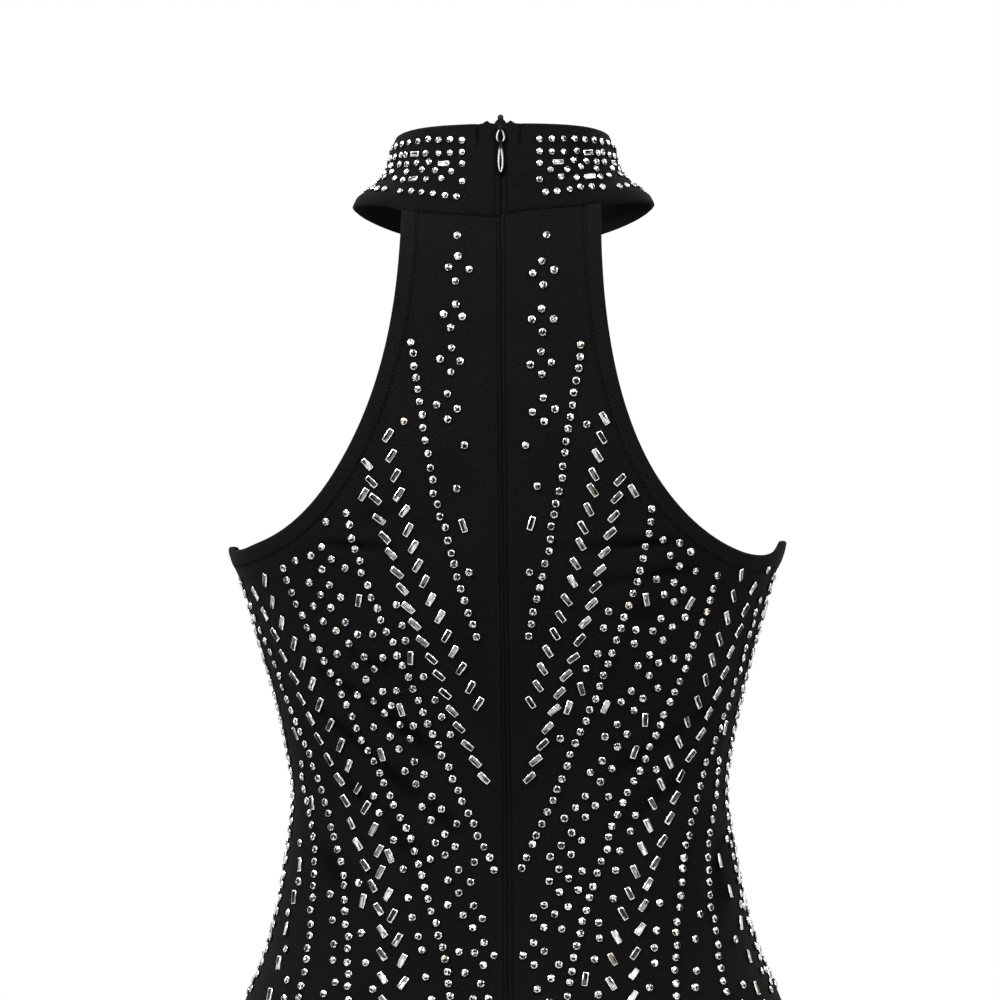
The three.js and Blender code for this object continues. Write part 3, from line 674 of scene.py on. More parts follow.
def collar_cloth(full_turn, level, out):
    """full_turn: 0 at the zip, by the left and the throat at 1, to the zip again at 2."""
    turn = np.where(full_turn <= 1, full_turn, 2 - full_turn)
    points = figure(turn, level) + outward(turn, level) * np.asarray(out)[..., None]
    left = sag("left", points[..., 0], turn, level)
    points[..., 2] += np.where(full_turn <= 1, left, sag("right", points[..., 0], turn, level))
    points[..., 0] *= np.where(full_turn <= 1, 1, -1)
    return points * MM


heights = np.concatenate([
    COLLAR_HEIGHT - np.array([0, 0.2, 0.55, 1, 1.6, 2.4]), np.linspace(41.2, 3.6, 30),
    [2.6, 1.7, 1, 0.4, 0.05, -0.15],
])
edge_from_zip = ZIP_HALF + 0.2
edge_turn = turn_for(edge_from_zip, 0, heights)[:, None]
shares = np.concatenate([
    [0, 0.0007, 0.0016, 0.003, 0.005], np.linspace(0.007, 0.045, 26), np.linspace(0.049, 0.5, 104),
])
shares = np.concatenate([shares, 1 - shares[:-1][::-1]])
full = mix(edge_turn, 2 - edge_turn, shares)
from_zip = np.minimum(full, 2 - full) * 150
heights = heights[:, None]
on_left = full < 1
ripple = hump(from_zip, np.where(on_left, 6.2, 4.5), 1.25)
near_top = ease(heights, 38, COLLAR_HEIGHT)
level = heights + near_top * (1.35 * ripple)
crease = hump(from_zip, np.where(on_left, 9.9, 8.4) + 0.08 * (heights - 38), 0.7)
crease = crease * ease(heights, 31, 37)
out = COLLAR_PROUD - 1.1 * hump(heights, COLLAR_HEIGHT, 0.5) - 0.9 * hump(heights, -0.1, 0.5)
out = out - 0.8 * hump(from_zip, edge_from_zip * 0.96, 0.5) * (from_zip < 4)
out = out + near_top * 0.5 * ripple - np.where(on_left, 1.1, 0.8) * crease
wave = ease(heights, 0, 8) * (1 - near_top) * ease(from_zip, 8, 30)
out = out + 0.18 * np.sin(full * 31) * wave
by_zip = hump(from_zip, 2, 0.45) * (1 - near_top)
points = collar_cloth(full, level, out - 0.25 * by_zip)
# Painted shade along the collar's crease and beside the zip, and a painted highlight 1.1 mm from the
# zip's edge, for the fold attribute.
painted_shade = crease + 0.8 * by_zip - 0.3 * hump(from_zip, 1.1, 0.35)
collar = grid("stand_collar", points, row_widths(points), painted_shade)
face_out(collar, body_line)
thicken(collar, COLLAR_WALL - 0.5)
collar.data.materials.append(panel_jersey)
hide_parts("collar")
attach(collar, "garment")

# ---- Invisible zip ----
# Two black knitted tapes behind the opening, each with a nylon coil whose small teeth show as
# a fine dotted strip between the folded edges of the cloth.
ZIP = {"wall": 0.5, "coil": 1.5, "pitch": 1.15}
ZIP_END = -450
TAPE_ACROSS = np.array([0.1, 1, 2.5, 5, 7.5, 9.4, 10])
tape_cloth = jersey("black_zip_tape", "#0b0a0b", "#1d1b1d", 0.7)
coil_nylon = mottled(
    "black_nylon_coil", 0.45, "#070707", "#232223", 1500.0, 2.0, Specular_IOR_Level=0.3
)
coil_tooth = rod_template(ZIP["coil"], 0.62)
tape_level = np.linspace(COLLAR_HEIGHT - 1.5, ZIP_END, 120)


def behind_cloth(level):
    return -mix(CLOTH, COLLAR_WALL - COLLAR_PROUD, ease(level, -14, -3))


for side in ("left", "right"):
    sign = 1 if side == "left" else -1
    turns = np.stack([turn_across(x, tape_level, "back") for x in TAPE_ACROSS], 1)
    out = behind_cloth(tape_level)[:, None] - 0.85 + 0 * turns
    points = cloth(side, turns, tape_level[:, None], out)
    points[..., 0] = sign * TAPE_ACROSS * MM
    tape = grid(f"zip_tape_cloth_{side}", points, row_widths(points))
    face_out(tape, body_line)
    thicken(tape, ZIP["wall"])
    tape.data.materials.append(tape_cloth)
    levels = np.arange(COLLAR_HEIGHT - 9, ZIP_END + 1, -ZIP["pitch"] / 2)
    levels = levels[0::2] if side == "left" else levels[1::2]
    turn = turn_for(0.35, 0, levels)
    place = cloth(side, turn, levels, -1.62)
    place[:, 0] = sign * 0.42 * MM
    normal = outward(turn, levels)
    normal[:, 0] = 0
    normal = unit(normal)
    across_axis = np.tile([1.0, 0.0, 0.0], (len(levels), 1))
    axes = np.stack([np.cross(across_axis, normal), across_axis, normal], 1)
    coil = scatter(f"zip_coil_{side}", coil_tooth, (place, axes))
    coil.data.materials.append(coil_nylon)
    for piece in (tape, coil):
        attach(piece, "garment")
    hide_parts(f"zip_tape_{side}")

# ---- Slider and pull ----
# A small black slider that sits at the collar's top, with a domed nose and a wire bridge; a wire
# ring and a long drop-shaped wire loop hang from the bridge and swing as one pull.
black_lacquer = mottled(
    "black_lacquered_metal", 0.45, "#030303", "#0c0c0d", 900.0, 3.0, Specular_IOR_Level=0.06
)
brown_lacquer = mottled(
    "dark_brown_lacquer", 0.45, "#120806", "#2e160e", 1200.0, 3.0, Specular_IOR_Level=0.12
)


def painted(name, roughness):
    """Bare metal whose brightness is painted light, taken from the mesh's own colour layer of painted
    highlights and painted shade.
    """
    made = material(name, roughness, 1.0)
    facet = node(made, "ShaderNodeVertexColor", {"layer_name": "facet"})
    link(made, facet.outputs["Color"], "Base Color")
    return made


streaked_wire = painted("black_wire_painted_highlights", 0.38)
SLIDER_TOP = 43.2
head_top = figure(0.0, SLIDER_TOP) * MM
head_low = figure(0.0, SLIDER_TOP - 10) * MM
head_lean = math.atan2(head_low[1] - head_top[1], head_top[2] - head_low[2])
PULL_OUT, PULL_DROP = 1.7, 2.2


def stand(obj):
    """Puts a piece made upright at the zip's head into its leaned place, in its mesh."""
    cos, sin = math.cos(head_lean), math.sin(head_lean)
    spin = np.array([[1, 0, 0], [0, cos, -sin], [0, sin, cos]])
    move_corners(obj, corners_of(obj) @ spin.T + head_top)


def reshape(obj, shape):
    """Bakes the object's place into its mesh, then moves each point, in millimetres, by shape."""
    only(obj)
    bpy.ops.object.transform_apply(location=True, rotation=True, scale=True)
    move_corners(obj, shape(corners_of(obj) / MM) * MM)


def bevel(obj, wide):
    only(obj)
    round_over = obj.modifiers.new("round", "BEVEL")
    round_over.width = wide * MM
    round_over.segments = 3
    bpy.ops.object.modifier_apply(modifier=round_over.name)
    bpy.ops.object.shade_smooth()


def named(name):
    """Names the piece just added."""
    piece = bpy.context.object
    piece.name = piece.data.name = name
    return piece


bpy.ops.object.select_all(action="DESELECT")
bpy.ops.mesh.primitive_cube_add(
    size=1, location=(0, -0.55 * MM, -3.2 * MM), scale=(2.8 * MM, 2.1 * MM, 12.6 * MM)
)
slider_body = named("slider_body")
only(slider_body)
bpy.ops.object.mode_set(mode="EDIT")
bpy.ops.mesh.select_all(action="SELECT")
bpy.ops.mesh.subdivide(number_cuts=11)
bpy.ops.object.mode_set(mode="OBJECT")


# The slider's width along its height: a waist below, broad shoulders, and a narrow neck.
SLIDER_WIDE = [
    (-9.5, 1), (-5.6, 1), (-3.4, 0.78), (-1.2, 1), (0, 1), (1.7, 2.7), (4, 0.8), (5, 0.6), (5.5, 0.6),
]


def slim(co):
    z = co[:, 2] + 0.4 * np.maximum(co[:, 2], 0)
    wide = np.interp(z, *np.array(SLIDER_WIDE).T)
    return np.stack([co[:, 0] * wide, co[:, 1] + 0.12 * np.cos(co[:, 0]), z], 1)


def domed(co):
    return np.stack([co[:, 0] * (1 + 0.12 * np.sin(co[:, 2])), co[:, 1], co[:, 2]], 1)


def broad(co):
    return np.stack([co[:, 0] * 1.5, co[:, 1], -PULL_DROP + (co[:, 2] + PULL_DROP) * 1.05], 1)


reshape(slider_body, slim)
bevel(slider_body, 0.3)
bpy.ops.object.select_all(action="DESELECT")
bpy.ops.mesh.primitive_uv_sphere_add(
    segments=24, ring_count=14, radius=1.75 * MM, location=(0, -0.2 * MM, 4.9 * MM),
    scale=(1, 0.85, 0.9),
)
slider_nose = named("slider_nose")
reshape(slider_nose, domed)
only(slider_nose)
bpy.ops.object.shade_smooth()
bpy.ops.object.select_all(action="DESELECT")
bpy.ops.mesh.primitive_torus_add(
    major_segments=36, minor_segments=10, major_radius=2.1 * MM, minor_radius=0.42 * MM,
    location=(0, 1.2 * MM, -PULL_DROP * MM), rotation=(0, math.pi / 2, 0),
)
slider_bridge = named("slider_bridge")
reshape(slider_bridge, broad)
only(slider_bridge)
bpy.ops.object.shade_smooth()
for piece, finish in (
    (slider_body, black_lacquer), (slider_nose, brown_lacquer), (slider_bridge, black_lacquer),
):
    stand(piece)
    piece.data.materials.append(finish)
    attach(piece, "garment")
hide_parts("zip_slider")

UNIT_WIRE = 0.3  # the wire's half thickness in a torus of radius 1, before it is shaped


def torus(name, segments):
    bpy.ops.object.select_all(action="DESELECT")
    bpy.ops.mesh.primitive_torus_add(
        major_segments=segments, minor_segments=20, major_radius=MM, minor_radius=UNIT_WIRE * MM,
        rotation=(math.pi / 2, 0, 0),
    )
    return named(name)


def wire_loop(top, bottom, widest, neck, wire):
    """Shapes a unit torus into a long wire loop whose width goes from neck to widest."""
    def shape(co):
        angle = np.arctan2(co[:, 2], co[:, 0])
        cos, sin = np.cos(angle), np.sin(angle)
        off = (np.hypot(co[:, 0], co[:, 2]) - 1) / UNIT_WIRE * wire / 2
        wide = mix(neck, widest, ease((1 - sin) / 2, 0.0, 0.85)) / 2 - wire / 2
        tall = (top - bottom) / 2 - wire / 2
        x, z = (wide + off) * cos, (top + bottom) / 2 + (tall + off) * sin
        return np.stack([x, co[:, 1] / UNIT_WIRE * wire / 2 + PULL_OUT, z - PULL_DROP], 1)
    return shape


def paint_streaks(obj, low, high):
    """Painted highlights: bright streaks painted down the front of the wire's two long sides, over near
    black elsewhere.
    """
    co = corners_of(obj) / MM
    front = ease((co[:, 1] - PULL_OUT) / np.ptp(co[:, 1]) * 2, 0.94, 1)
    tall = (co[:, 2] - co[:, 2].min()) / np.ptp(co[:, 2])
    painted_streak = front * ease(tall, low - 0.1, low + 0.02) * (1 - ease(tall, high - 0.02, high + 0.1))
    colour = np.repeat((0.006 + 0.6 * painted_streak)[:, None], 4, 1)
    colour[:, 3] = 1
    layer = obj.data.attributes.new("facet", "FLOAT_COLOR", "POINT")
    layer.data.foreach_set("color", colour.ravel())


pull_ring, pull_loop = torus("pull_ring", 56), torus("pull_loop", 72)
reshape(pull_ring, wire_loop(0.8, -8, 6.1, 4.8, 2))
reshape(pull_loop, wire_loop(-6.2, -23.8, 4.6, 3.3, 2.3))
# Each wire gets painted highlight streaks between these heights.
for piece, low, high in ((pull_ring, 0.24, 0.84), (pull_loop, 0.04, 0.7)):
    only(piece)
    bpy.ops.object.shade_smooth()
    paint_streaks(piece, low, high)
    stand(piece)
    piece.data.materials.append(streaked_wire)
    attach(piece, "pull")
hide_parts("zip_pull")

# ---- Rhinestones ----
# Foil-backed clear stones glued to the cloth: round ones 4.2 mm across with a faceted crown,
# and step-cut baguettes 7.1 by 3.2 mm. They run in strings, herringbones and small diamonds.
rng = np.random.default_rng(7)


def pick(obj, wanted):
    """Selects the faces whose normal satisfies wanted, in edit mode."""
    only(obj)
    bpy.ops.object.mode_set(mode="EDIT")
    bpy.ops.mesh.select_mode(type="FACE")
    bpy.ops.mesh.select_all(action="DESELECT")
    bpy.ops.object.mode_set(mode="OBJECT")
    for face in obj.data.polygons:
        face.select = bool(wanted(face.normal))
    bpy.ops.object.mode_set(mode="EDIT")


def on_top(normal):
    return normal.z > 0.95


def round_stone():
    bpy.ops.object.select_all(action="DESELECT")
    bpy.ops.mesh.primitive_cone_add(
        vertices=10, radius1=2.15, radius2=1.3, depth=0.5, location=(0, 0, 1.05)
    )
    stone = bpy.context.object
    only(stone)
    bpy.ops.object.transform_apply(location=True)
    pick(stone, lambda normal: abs(normal.z) < 0.95)
    bpy.ops.mesh.poke(offset=0.12)
    bpy.ops.object.mode_set(mode="OBJECT")
    pick(stone, on_top)
    bpy.ops.mesh.poke(offset=-0.34)
    bpy.ops.object.mode_set(mode="OBJECT")
    pick(stone, lambda normal: normal.z < -0.95)
    bpy.ops.mesh.extrude_region_move(TRANSFORM_OT_translate={"value": (0, 0, -0.8)})
    bpy.ops.object.mode_set(mode="OBJECT")
    return template(stone)


def baguette_stone():
    bpy.ops.object.select_all(action="DESELECT")
    bpy.ops.mesh.primitive_cube_add(size=1, location=(0, 0, 0.4), scale=(3.25, 7.3, 0.8))
    stone = bpy.context.object
    only(stone)
    bpy.ops.object.transform_apply(location=True, scale=True)
    for inset, depth in ((0.56, 0.34), (0.16, -0.1)):
        pick(stone, on_top)
        bpy.ops.mesh.inset(thickness=inset, depth=depth)
        bpy.ops.object.mode_set(mode="OBJECT")
    pick(stone, on_top)
    bpy.ops.mesh.poke(offset=0.24)
    bpy.ops.object.mode_set(mode="OBJECT")
    return template(stone)


STONES = {"round": round_stone(), "baguette": baguette_stone()}

# Mirror-bright metal: the stones' brightness is painted reflections and painted shade from their colour
# layer.
crystal = painted("foil_backed_crystal", 0.04)

# Strings of round stones on each half of the back: points as (across, height), top to bottom.
STRINGS = [
    [
        (42.8, -69.5), (40.6, -83.7), (37.2, -103.4), (33.4, -128.8), (29.5, -153.1),
        (24.6, -176.4), (19.2, -200.2), (14.9, -217.4),
    ],
    [
        (76.1, -153.6), (72.8, -170.8), (69, -188), (61.6, -209.8), (55.3, -227.5), (49, -244.2),
        (41.7, -262), (34.3, -280.2), (26.5, -298.9), (18.6, -316.7), (9.7, -336.9),
    ],
    [
        (110.1, -181.9), (103.2, -203.2), (96.9, -220.4), (90.6, -237.1), (82.8, -254.4),
        (72.3, -278.7), (63.5, -295.9), (54.1, -316.2), (48.8, -334.9), (42.4, -355.7),
        (36.1, -375.9), (32.2, -402),
    ],
    [
        (130, -201), (123, -225), (114, -253.9), (100, -289.3), (90, -328.8), (85.4, -369.8),
        (85, -402),
    ],
    [
        (108.5, -283), (107, -300), (104, -316), (102.5, -330), (104, -349.6), (105.6, -370.9),
        (107.5, -385.5), (111, -402),
    ],
]
# Herringbones: pairs of baguette columns that lean towards each other. Each column has its lean
# in degrees, its pitch and its points.
HERRINGBONES = [
    (-33, 9.3, [
        (53.4, -107.5), (49.6, -127.7), (46.3, -147), (42.5, -165.2), (38.2, -182.9),
        (33.4, -200.7), (26.6, -218.9), (21.3, -236.1), (14.4, -254.9),
    ]),
    (48, 9.3, [
        (62.2, -129.3), (58.4, -149), (55.1, -167.2), (50.3, -184.5), (46, -201.7), (39.7, -219.9),
        (32.9, -238.2), (26.6, -255.4), (20.7, -273.6), (12.9, -293.4),
    ]),
    (-28, 11.4, [
        (120.5, -187.5), (113.5, -208.8), (104.9, -232.1), (96.1, -256.4), (84.9, -278.2),
        (75, -306), (62.8, -347), (55.3, -375.9), (53.1, -402),
    ]),
    (38, 11.4, [
        (126.5, -194.6), (117.9, -218.9), (110, -242.2), (100.2, -266), (88.2, -292.3),
        (80.7, -319.2), (71.3, -347), (65.8, -376.4), (64, -402),
    ]),
]
# Diamonds of four round stones: across, height and half height; then a line of more diamonds,
# stones on their own, and lone baguettes with their lean.
DIAMONDS = [(24, -32.5, 6.2), (23.7, -56.8, 6), (22.6, -79.1, 6), (23.8, -102.9, 6)]
DIAMOND_LINE = [
    (90, -174.3), (87.2, -192.6), (81.4, -210.3), (75.6, -228), (66.7, -246.8), (58.3, -265.5),
    (50.5, -284.7), (42.1, -302.5), (35.3, -322.7), (26.3, -347), (17.4, -368.3), (13.5, -393.6),
]
SINGLES = [(26.3, -13.8), (14.9, -121.2), (19.8, -141.4), (15.9, -184.5), (49, -87.5), (45.5, -110.5)]
LONE_BAGUETTES = [
    (16.9, -160.2, 18), (72.9, -198.6, -14), (93.4, -219.9, -16), (104.8, -234.1, -14),
    (52.9, -253.3, 20), (66.8, -277.2, 16), (67.4, -144.5, -36),
]
# How far the back's left half of the pattern sits out of true: height, and millimetres outward.
LEFT_DRIFT = [
    (-396, -3.6), (-333, -3.7), (-296, -3.1), (-239, -2.4), (-208, -0.2), (-177, 1.7), (-145, 3.3),
    (-114, 4.3), (-83, 3.6), (-68, 3.1), (-52, -0.2), (-21, -3),
]
# Two more columns of baguettes, near the side.
BAGUETTE_LINES = [
    (8, 17, [
        (110.5, -334.4), (115.5, -357.2), (120, -372), (124.5, -392), (127, -404),
    ]),
    (14, 19, [
        (122, -230), (112.5, -262), (104, -296), (103.5, -318),
    ]),
]


def along(points, pitch, start=0.0):
    """Places a pitch apart on the line through the points."""
    points = np.array(points, float)
    at = travelled(points)
    where = np.arange(start, at[-1] + 0.01, pitch)
    return np.stack([np.interp(where, at, points[:, k]) for k in range(2)], 1)


def diamond(x, z, half, wide, skew):
    return [(x, z + half), (x, z - half), (x - wide, z - skew), (x + wide, z + skew)]


def chart(upper):
    """The stones of one half as rows: across, height, angle, and 0 for round or 1 for baguette."""
    rows = []
    for points in STRINGS:
        rows += [(x, z, 0, 0) for x, z in along(points, 6.25)]
    for lean, pitch, points in HERRINGBONES:
        rows += [(x, z, lean, 1) for x, z in along(points, pitch)]
    diamonds = [diamond(x, z, half, 5.4, 0.6) for x, z, half in DIAMONDS]
    diamonds += [diamond(x, z, 5.6, 5, 0.8) for x, z in along(DIAMOND_LINE, 19.6, 2)]
    for points in diamonds + [SINGLES]:
        rows += [(x, z, 0, 0) for x, z in points]
    rows += [(x, z, lean, 1) for x, z, lean in LONE_BAGUETTES]
    for lean, pitch, points in BAGUETTE_LINES:
        rows += [(x, z, lean, 1) for x, z in along(points, pitch)]
    return [row for row in rows if row[1] < upper]


def fill(rows, count, low, high, clear, inside):
    """Adds round stones at random places that are clear of every stone so far."""
    placed = np.array([row[:2] for row in rows])
    for _ in range(count * 30):
        if count == 0:
            break
        spot = np.array([rng.uniform(4, 150), rng.uniform(low, high)])
        if not inside(*spot) or np.min(np.hypot(*(placed - spot).T)) < clear:
            continue
        rows.append((spot[0], spot[1], rng.uniform(-25, 25), int(rng.random() < 0.07)))
        placed = np.vstack([placed, spot])
        count -= 1
    return rows


def strap_limit(side, face):
    """How far across the stones may lie at each height beside the armhole."""
    shares = np.linspace(0, 1, 200)
    turn, level = armhole_edge(side, face, shares, BAND_WIDE + 2.6)
    points = figure(turn, level)
    order = np.argsort(points[:, 2])
    return points[order, 2], points[order, 0]


def beside(vectors, normal):
    """Unit vectors with what points along the normal taken out."""
    return unit(vectors - (vectors * normal).sum(1, keepdims=True) * normal)


def place_on(side, turn, level, angle):
    """Frames on the cloth, each turned by angle about the outward direction and tilted a little."""
    place = cloth(side, turn, level, 0.05)
    normal = outward(turn, level)
    normal[:, 0] *= 1 if side == "left" else -1
    up = beside(np.tile([0.0, 0.0, 1.0], (len(place), 1)), normal)
    right = np.cross(up, normal)
    lean = np.radians(rng.normal(0, 4.0, (len(place), 2)))
    normal = unit(normal + right * lean[:, :1] + up * lean[:, 1:])
    turn_by = np.radians(angle + rng.normal(0, 2.5, len(place)))[:, None]
    long_axis = beside(up * np.cos(turn_by) + right * np.sin(turn_by), normal)
    return place, np.stack([np.cross(long_axis, normal), long_axis, normal], 1)


def keep_apart(kinds, frames, room=0.35):
    """Which stones stay when each must be clear of those before it, in millimetres."""
    place, axes = frames[0] / MM, frames[1]
    reach = np.where(kinds == 1, 2.2, 0)[:, None]
    spots = np.concatenate([place - axes[:, 1] * reach, place, place + axes[:, 1] * reach])
    radius = np.tile(np.where(kinds == 1, 1.55, 2.1), 3)
    owner = np.tile(np.arange(len(kinds)), 3)
    apart = np.linalg.norm(spots[:, None] - spots[None], axis=2)
    touching = (apart < radius[:, None] + radius[None] + room) & (owner[:, None] != owner[None])
    kept = np.ones(len(kinds), bool)
    for i in range(1, len(kinds)):
        rows = touching[[i, i + len(kinds), i + 2 * len(kinds)]].any(0)
        hit = owner[rows]
        kept[i] = not (kept[hit] & (hit < i)).any()
    return kept


def facet_tones(kind, count, spin):
    """Painted reflections and painted shade for each facet of each stone: light and dark play
    differently in every one.
    """
    co, faces = STONES[kind]
    centre = np.array([co[list(face)].mean(0) for face in faces])
    around, radius = np.arctan2(centre[:, 1], centre[:, 0]), np.hypot(centre[:, 0], centre[:, 1])
    # The walls below the crown get painted shade.
    wall = centre[:, 2] < 0.7
    stone = rng.uniform(0.82, 1, (count, 1))
    # Round stones: painted shade darkens an arc of the crown on one side, and random facets get painted
    # dark or dimmer reflections.
    if kind == "round":
        shade = np.radians(rng.normal(-50, 55, (count, 1)))
        turned = np.cos(around[None] + spin[:, None] - shade)
        ring = (radius > 0.7) & (radius < 1.62)
        tone = np.where((turned > rng.uniform(0.3, 0.9, (count, 1))) & ring, 0.04, 1.0)
        tone = np.where(rng.random(tone.shape) < 0.32, 0.06, tone)
        tone = np.where((rng.random(tone.shape) < 0.3) & (radius > 1.62), 0.3, tone)
    else:
        # Baguettes: the table gets a painted reflection, dark, grey or bright, with painted shade on one
        # half. The step groove round it gets painted shade.
        inner = (np.abs(centre[:, 0]) < 0.75) & (np.abs(centre[:, 1]) < 2.6)
        groove = ~inner & (centre[:, 2] > 1.05) & (radius < 3.1) & (np.abs(centre[:, 0]) < 1.05)
        look = rng.random((count, 1))
        dark, grey = rng.uniform(0.02, 0.1, (count, 1)), rng.uniform(0.16, 0.5, (count, 1))
        middle = np.where(look < 0.36, dark, grey)
        middle = np.where(look > 0.68, rng.uniform(0.7, 1, (count, 1)), middle)
        middle = middle * np.where(centre[:, 0] > 0, 1, rng.uniform(0.4, 1, (count, 1)))
        rim = np.where(rng.random((count, len(faces))) < 0.1, 0.45, 1.0)
        tone = np.where(inner, middle, rim)
        tone = np.where(groove, 0.03, tone)
    return stone * np.where(wall, 0.06, tone) * rng.uniform(0.88, 1, tone.shape)


def glue(name, kinds, frames, size=0.97):
    """Joined stones of one panel, each facet with its own painted brightness: painted reflections and
    shade, as cut glass shows them.
    """
    for index, kind in enumerate(("round", "baguette")):
        chosen = kinds == index
        count = chosen.sum()
        if not count:
            continue
        axes = frames[1][chosen] * rng.normal(size, 0.025, count)[:, None, None]
        spin = np.radians(rng.uniform(0, 360, count)) if kind == "round" else np.zeros(count)
        cos, sin = np.cos(spin)[:, None], np.sin(spin)[:, None]
        x = axes[:, 0] * cos + axes[:, 1] * sin
        y = axes[:, 1] * cos - axes[:, 0] * sin
        turned = frames[0][chosen], np.stack([x, y, axes[:, 2]], 1)
        stones = scatter(f"{name}_{kind}", STONES[kind], turned)
        tone = facet_tones(kind, count, spin)
        tint = np.where(rng.random((count, 1, 1)) < 0.02, [[[1, 0.96, 0.8]]], [[[1, 1, 1]]])
        colour = np.concatenate([tone[..., None] * tint, np.ones(tone.shape + (1,))], 2)
        sizes = np.tile([len(face) for face in STONES[kind][1]], count)
        layer = stones.data.attributes.new("facet", "FLOAT_COLOR", "CORNER")
        layer.data.foreach_set("color", np.repeat(colour.reshape(-1, 4), sizes, axis=0).ravel())
        stones.data.materials.append(crystal)
        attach(stones, "garment")


# Strings that go on down each leg: their turn at the hip, crotch and knee, where they end, their
# pitch, and 0 for round stones or the lean of a column of baguettes.
LEG_STRING_NAMES = ("hip", "crotch", "knee", "end", "pitch", "lean")
LEG_STRINGS = [
    (0.069, 0.115, 0.13, -880, 6.6, 0), (0.115, 0.16, 0.175, -800, 13, 30),
    (0.142, 0.195, 0.215, -800, 13, -38), (0.19, 0.27, 0.29, -1010, 6.6, 0),
    (0.262, 0.35, 0.37, -920, 6.8, 0), (0.31, 0.405, 0.425, -1090, 15, 10),
    (0.365, 0.44, 0.46, -960, 7, 0),
]


def leg_stones():
    """Rows of turn, level, angle and kind: the strings, then 150 tries at stones between them."""
    around = [380, 1]  # turns the figure's turn into millimetres round the leg, roughly
    rows = []
    for row in LEG_STRINGS:
        string = dict(zip(LEG_STRING_NAMES, row))
        level = np.arange(-408, string["end"], -string["pitch"])
        thin = ease(level, string["end"], string["end"] + 220)
        keep = rng.random(len(level)) < 0.25 + 0.75 * thin
        turns = [string["hip"], string["crotch"], string["knee"], string["knee"] + 0.01]
        turn = np.interp(-level, [404, 585, 860, 1100], turns)
        for t, z in zip(turn[keep], level[keep]):
            rows.append((t, z, string["lean"], int(string["lean"] != 0)))
    placed = np.array([row[:2] for row in rows]) * around
    for _ in range(150):
        spot = np.array([rng.uniform(0.03, 0.485), -410 - 800 * rng.beta(1.1, 2.0)])
        if np.min(np.hypot(*(placed - spot * around).T)) < 8:
            continue
        rows.append((spot[0], spot[1], rng.uniform(-30, 30), int(rng.random() < 0.12)))
        placed = np.vstack([placed, spot * around])
    return np.array(rows)


# Strings round the side, where the back and front charts don't reach: turn at the top and at
# the foot, the top's level, pitch and lean.
SIDE_STRINGS = [
    (0.478, 0.47, -190, 6.4, 0), (0.44, 0.432, -188, 6.6, 0), (0.46, 0.452, -194, 12.5, 12),
]


def side_stones():
    rows = []
    for start, end, top, pitch, lean in SIDE_STRINGS:
        level = np.arange(top, -404, -pitch)
        turn = np.interp(level, [-404, top], [end, start])
        rows += [(t, z, lean, int(lean != 0)) for t, z in zip(turn, level)]
    return np.array(rows)


for side in ("left", "right"):
    for face in ("back", "front"):
        limit_z, limit_x = strap_limit(side, face)
        rows = chart(-22 if face == "front" else -8)

        def inside(x, z):
            if z > limit_z[0]:
                return x < np.interp(z, limit_z, limit_x) - 0.5
            return x < float(trunk["half"](z)) * 0.982

        def upper(x, z):
            return inside(x, z) and x > 60 + (z + 200) * 0.2

        def lower_part(x, z):
            return inside(x, z) and x > 12 + (z + 402) * 0.12

        rows = fill(rows, 34, -200, -90, 7.4, upper)
        rows = np.array(fill(rows, 78, -402, -200, 7.2, lower_part))
        # On the back each half sits a little out of true, the left one by more.
        if face == "back" and side == "left":
            inner_baguette = (rows[:, 3] == 1) * (rows[:, 0] < 66)
            rows[:, 0] += 2.6 * inner_baguette * ease(rows[:, 0], 10, 30)
            rows[:, 0] += np.interp(rows[:, 1], *np.array(LEFT_DRIFT).T)
            rows[:, 0] += 2 * ease(rows[:, 0], 60, 90) * hump(rows[:, 1], -192, 26)
            rows[:, 1] += 2.4 * ease(rows[:, 1], -135, -108)
        elif face == "back":
            rows[:, 0] += -2.9 + 2.5 * ease(rows[:, 0], 10, 100)
        rows[:, :2] += rng.normal(0, 0.35, (len(rows), 2))
        keep = [inside(x, z) and x > 6 for x, z in rows[:, :2]]
        rows = rows[keep]
        level = rows[:, 1].copy()
        for _ in range(3):
            turn = turn_across(rows[:, 0], level, face)
            level = rows[:, 1] - neck_lift(np.pi * turn, level)
        clear = np.minimum(turn, 1 - turn) < 0.456
        torso = np.stack([turn, level, rows[:, 2], rows[:, 3]], 1)[clear]
        lower = np.concatenate([side_stones(), leg_stones()])
        if face == "front":
            lower[:, 0] = 1 - lower[:, 0]
        lower[:, 1] += rng.normal(0, 0.4, len(lower))
        both = np.concatenate([torso, lower])
        # The lean is drawn for the wearer's right half, seen from outside, and mirrored elsewhere.
        mirror = 1 if (side == "right") == (face == "back") else -1
        frames = place_on(side, both[:, 0], both[:, 1], both[:, 2] * mirror)
        kinds = both[:, 3].astype(int)
        kept = keep_apart(kinds, frames)
        glue(f"stones_{face}_{side}", kinds[kept], (frames[0][kept], frames[1][kept]))

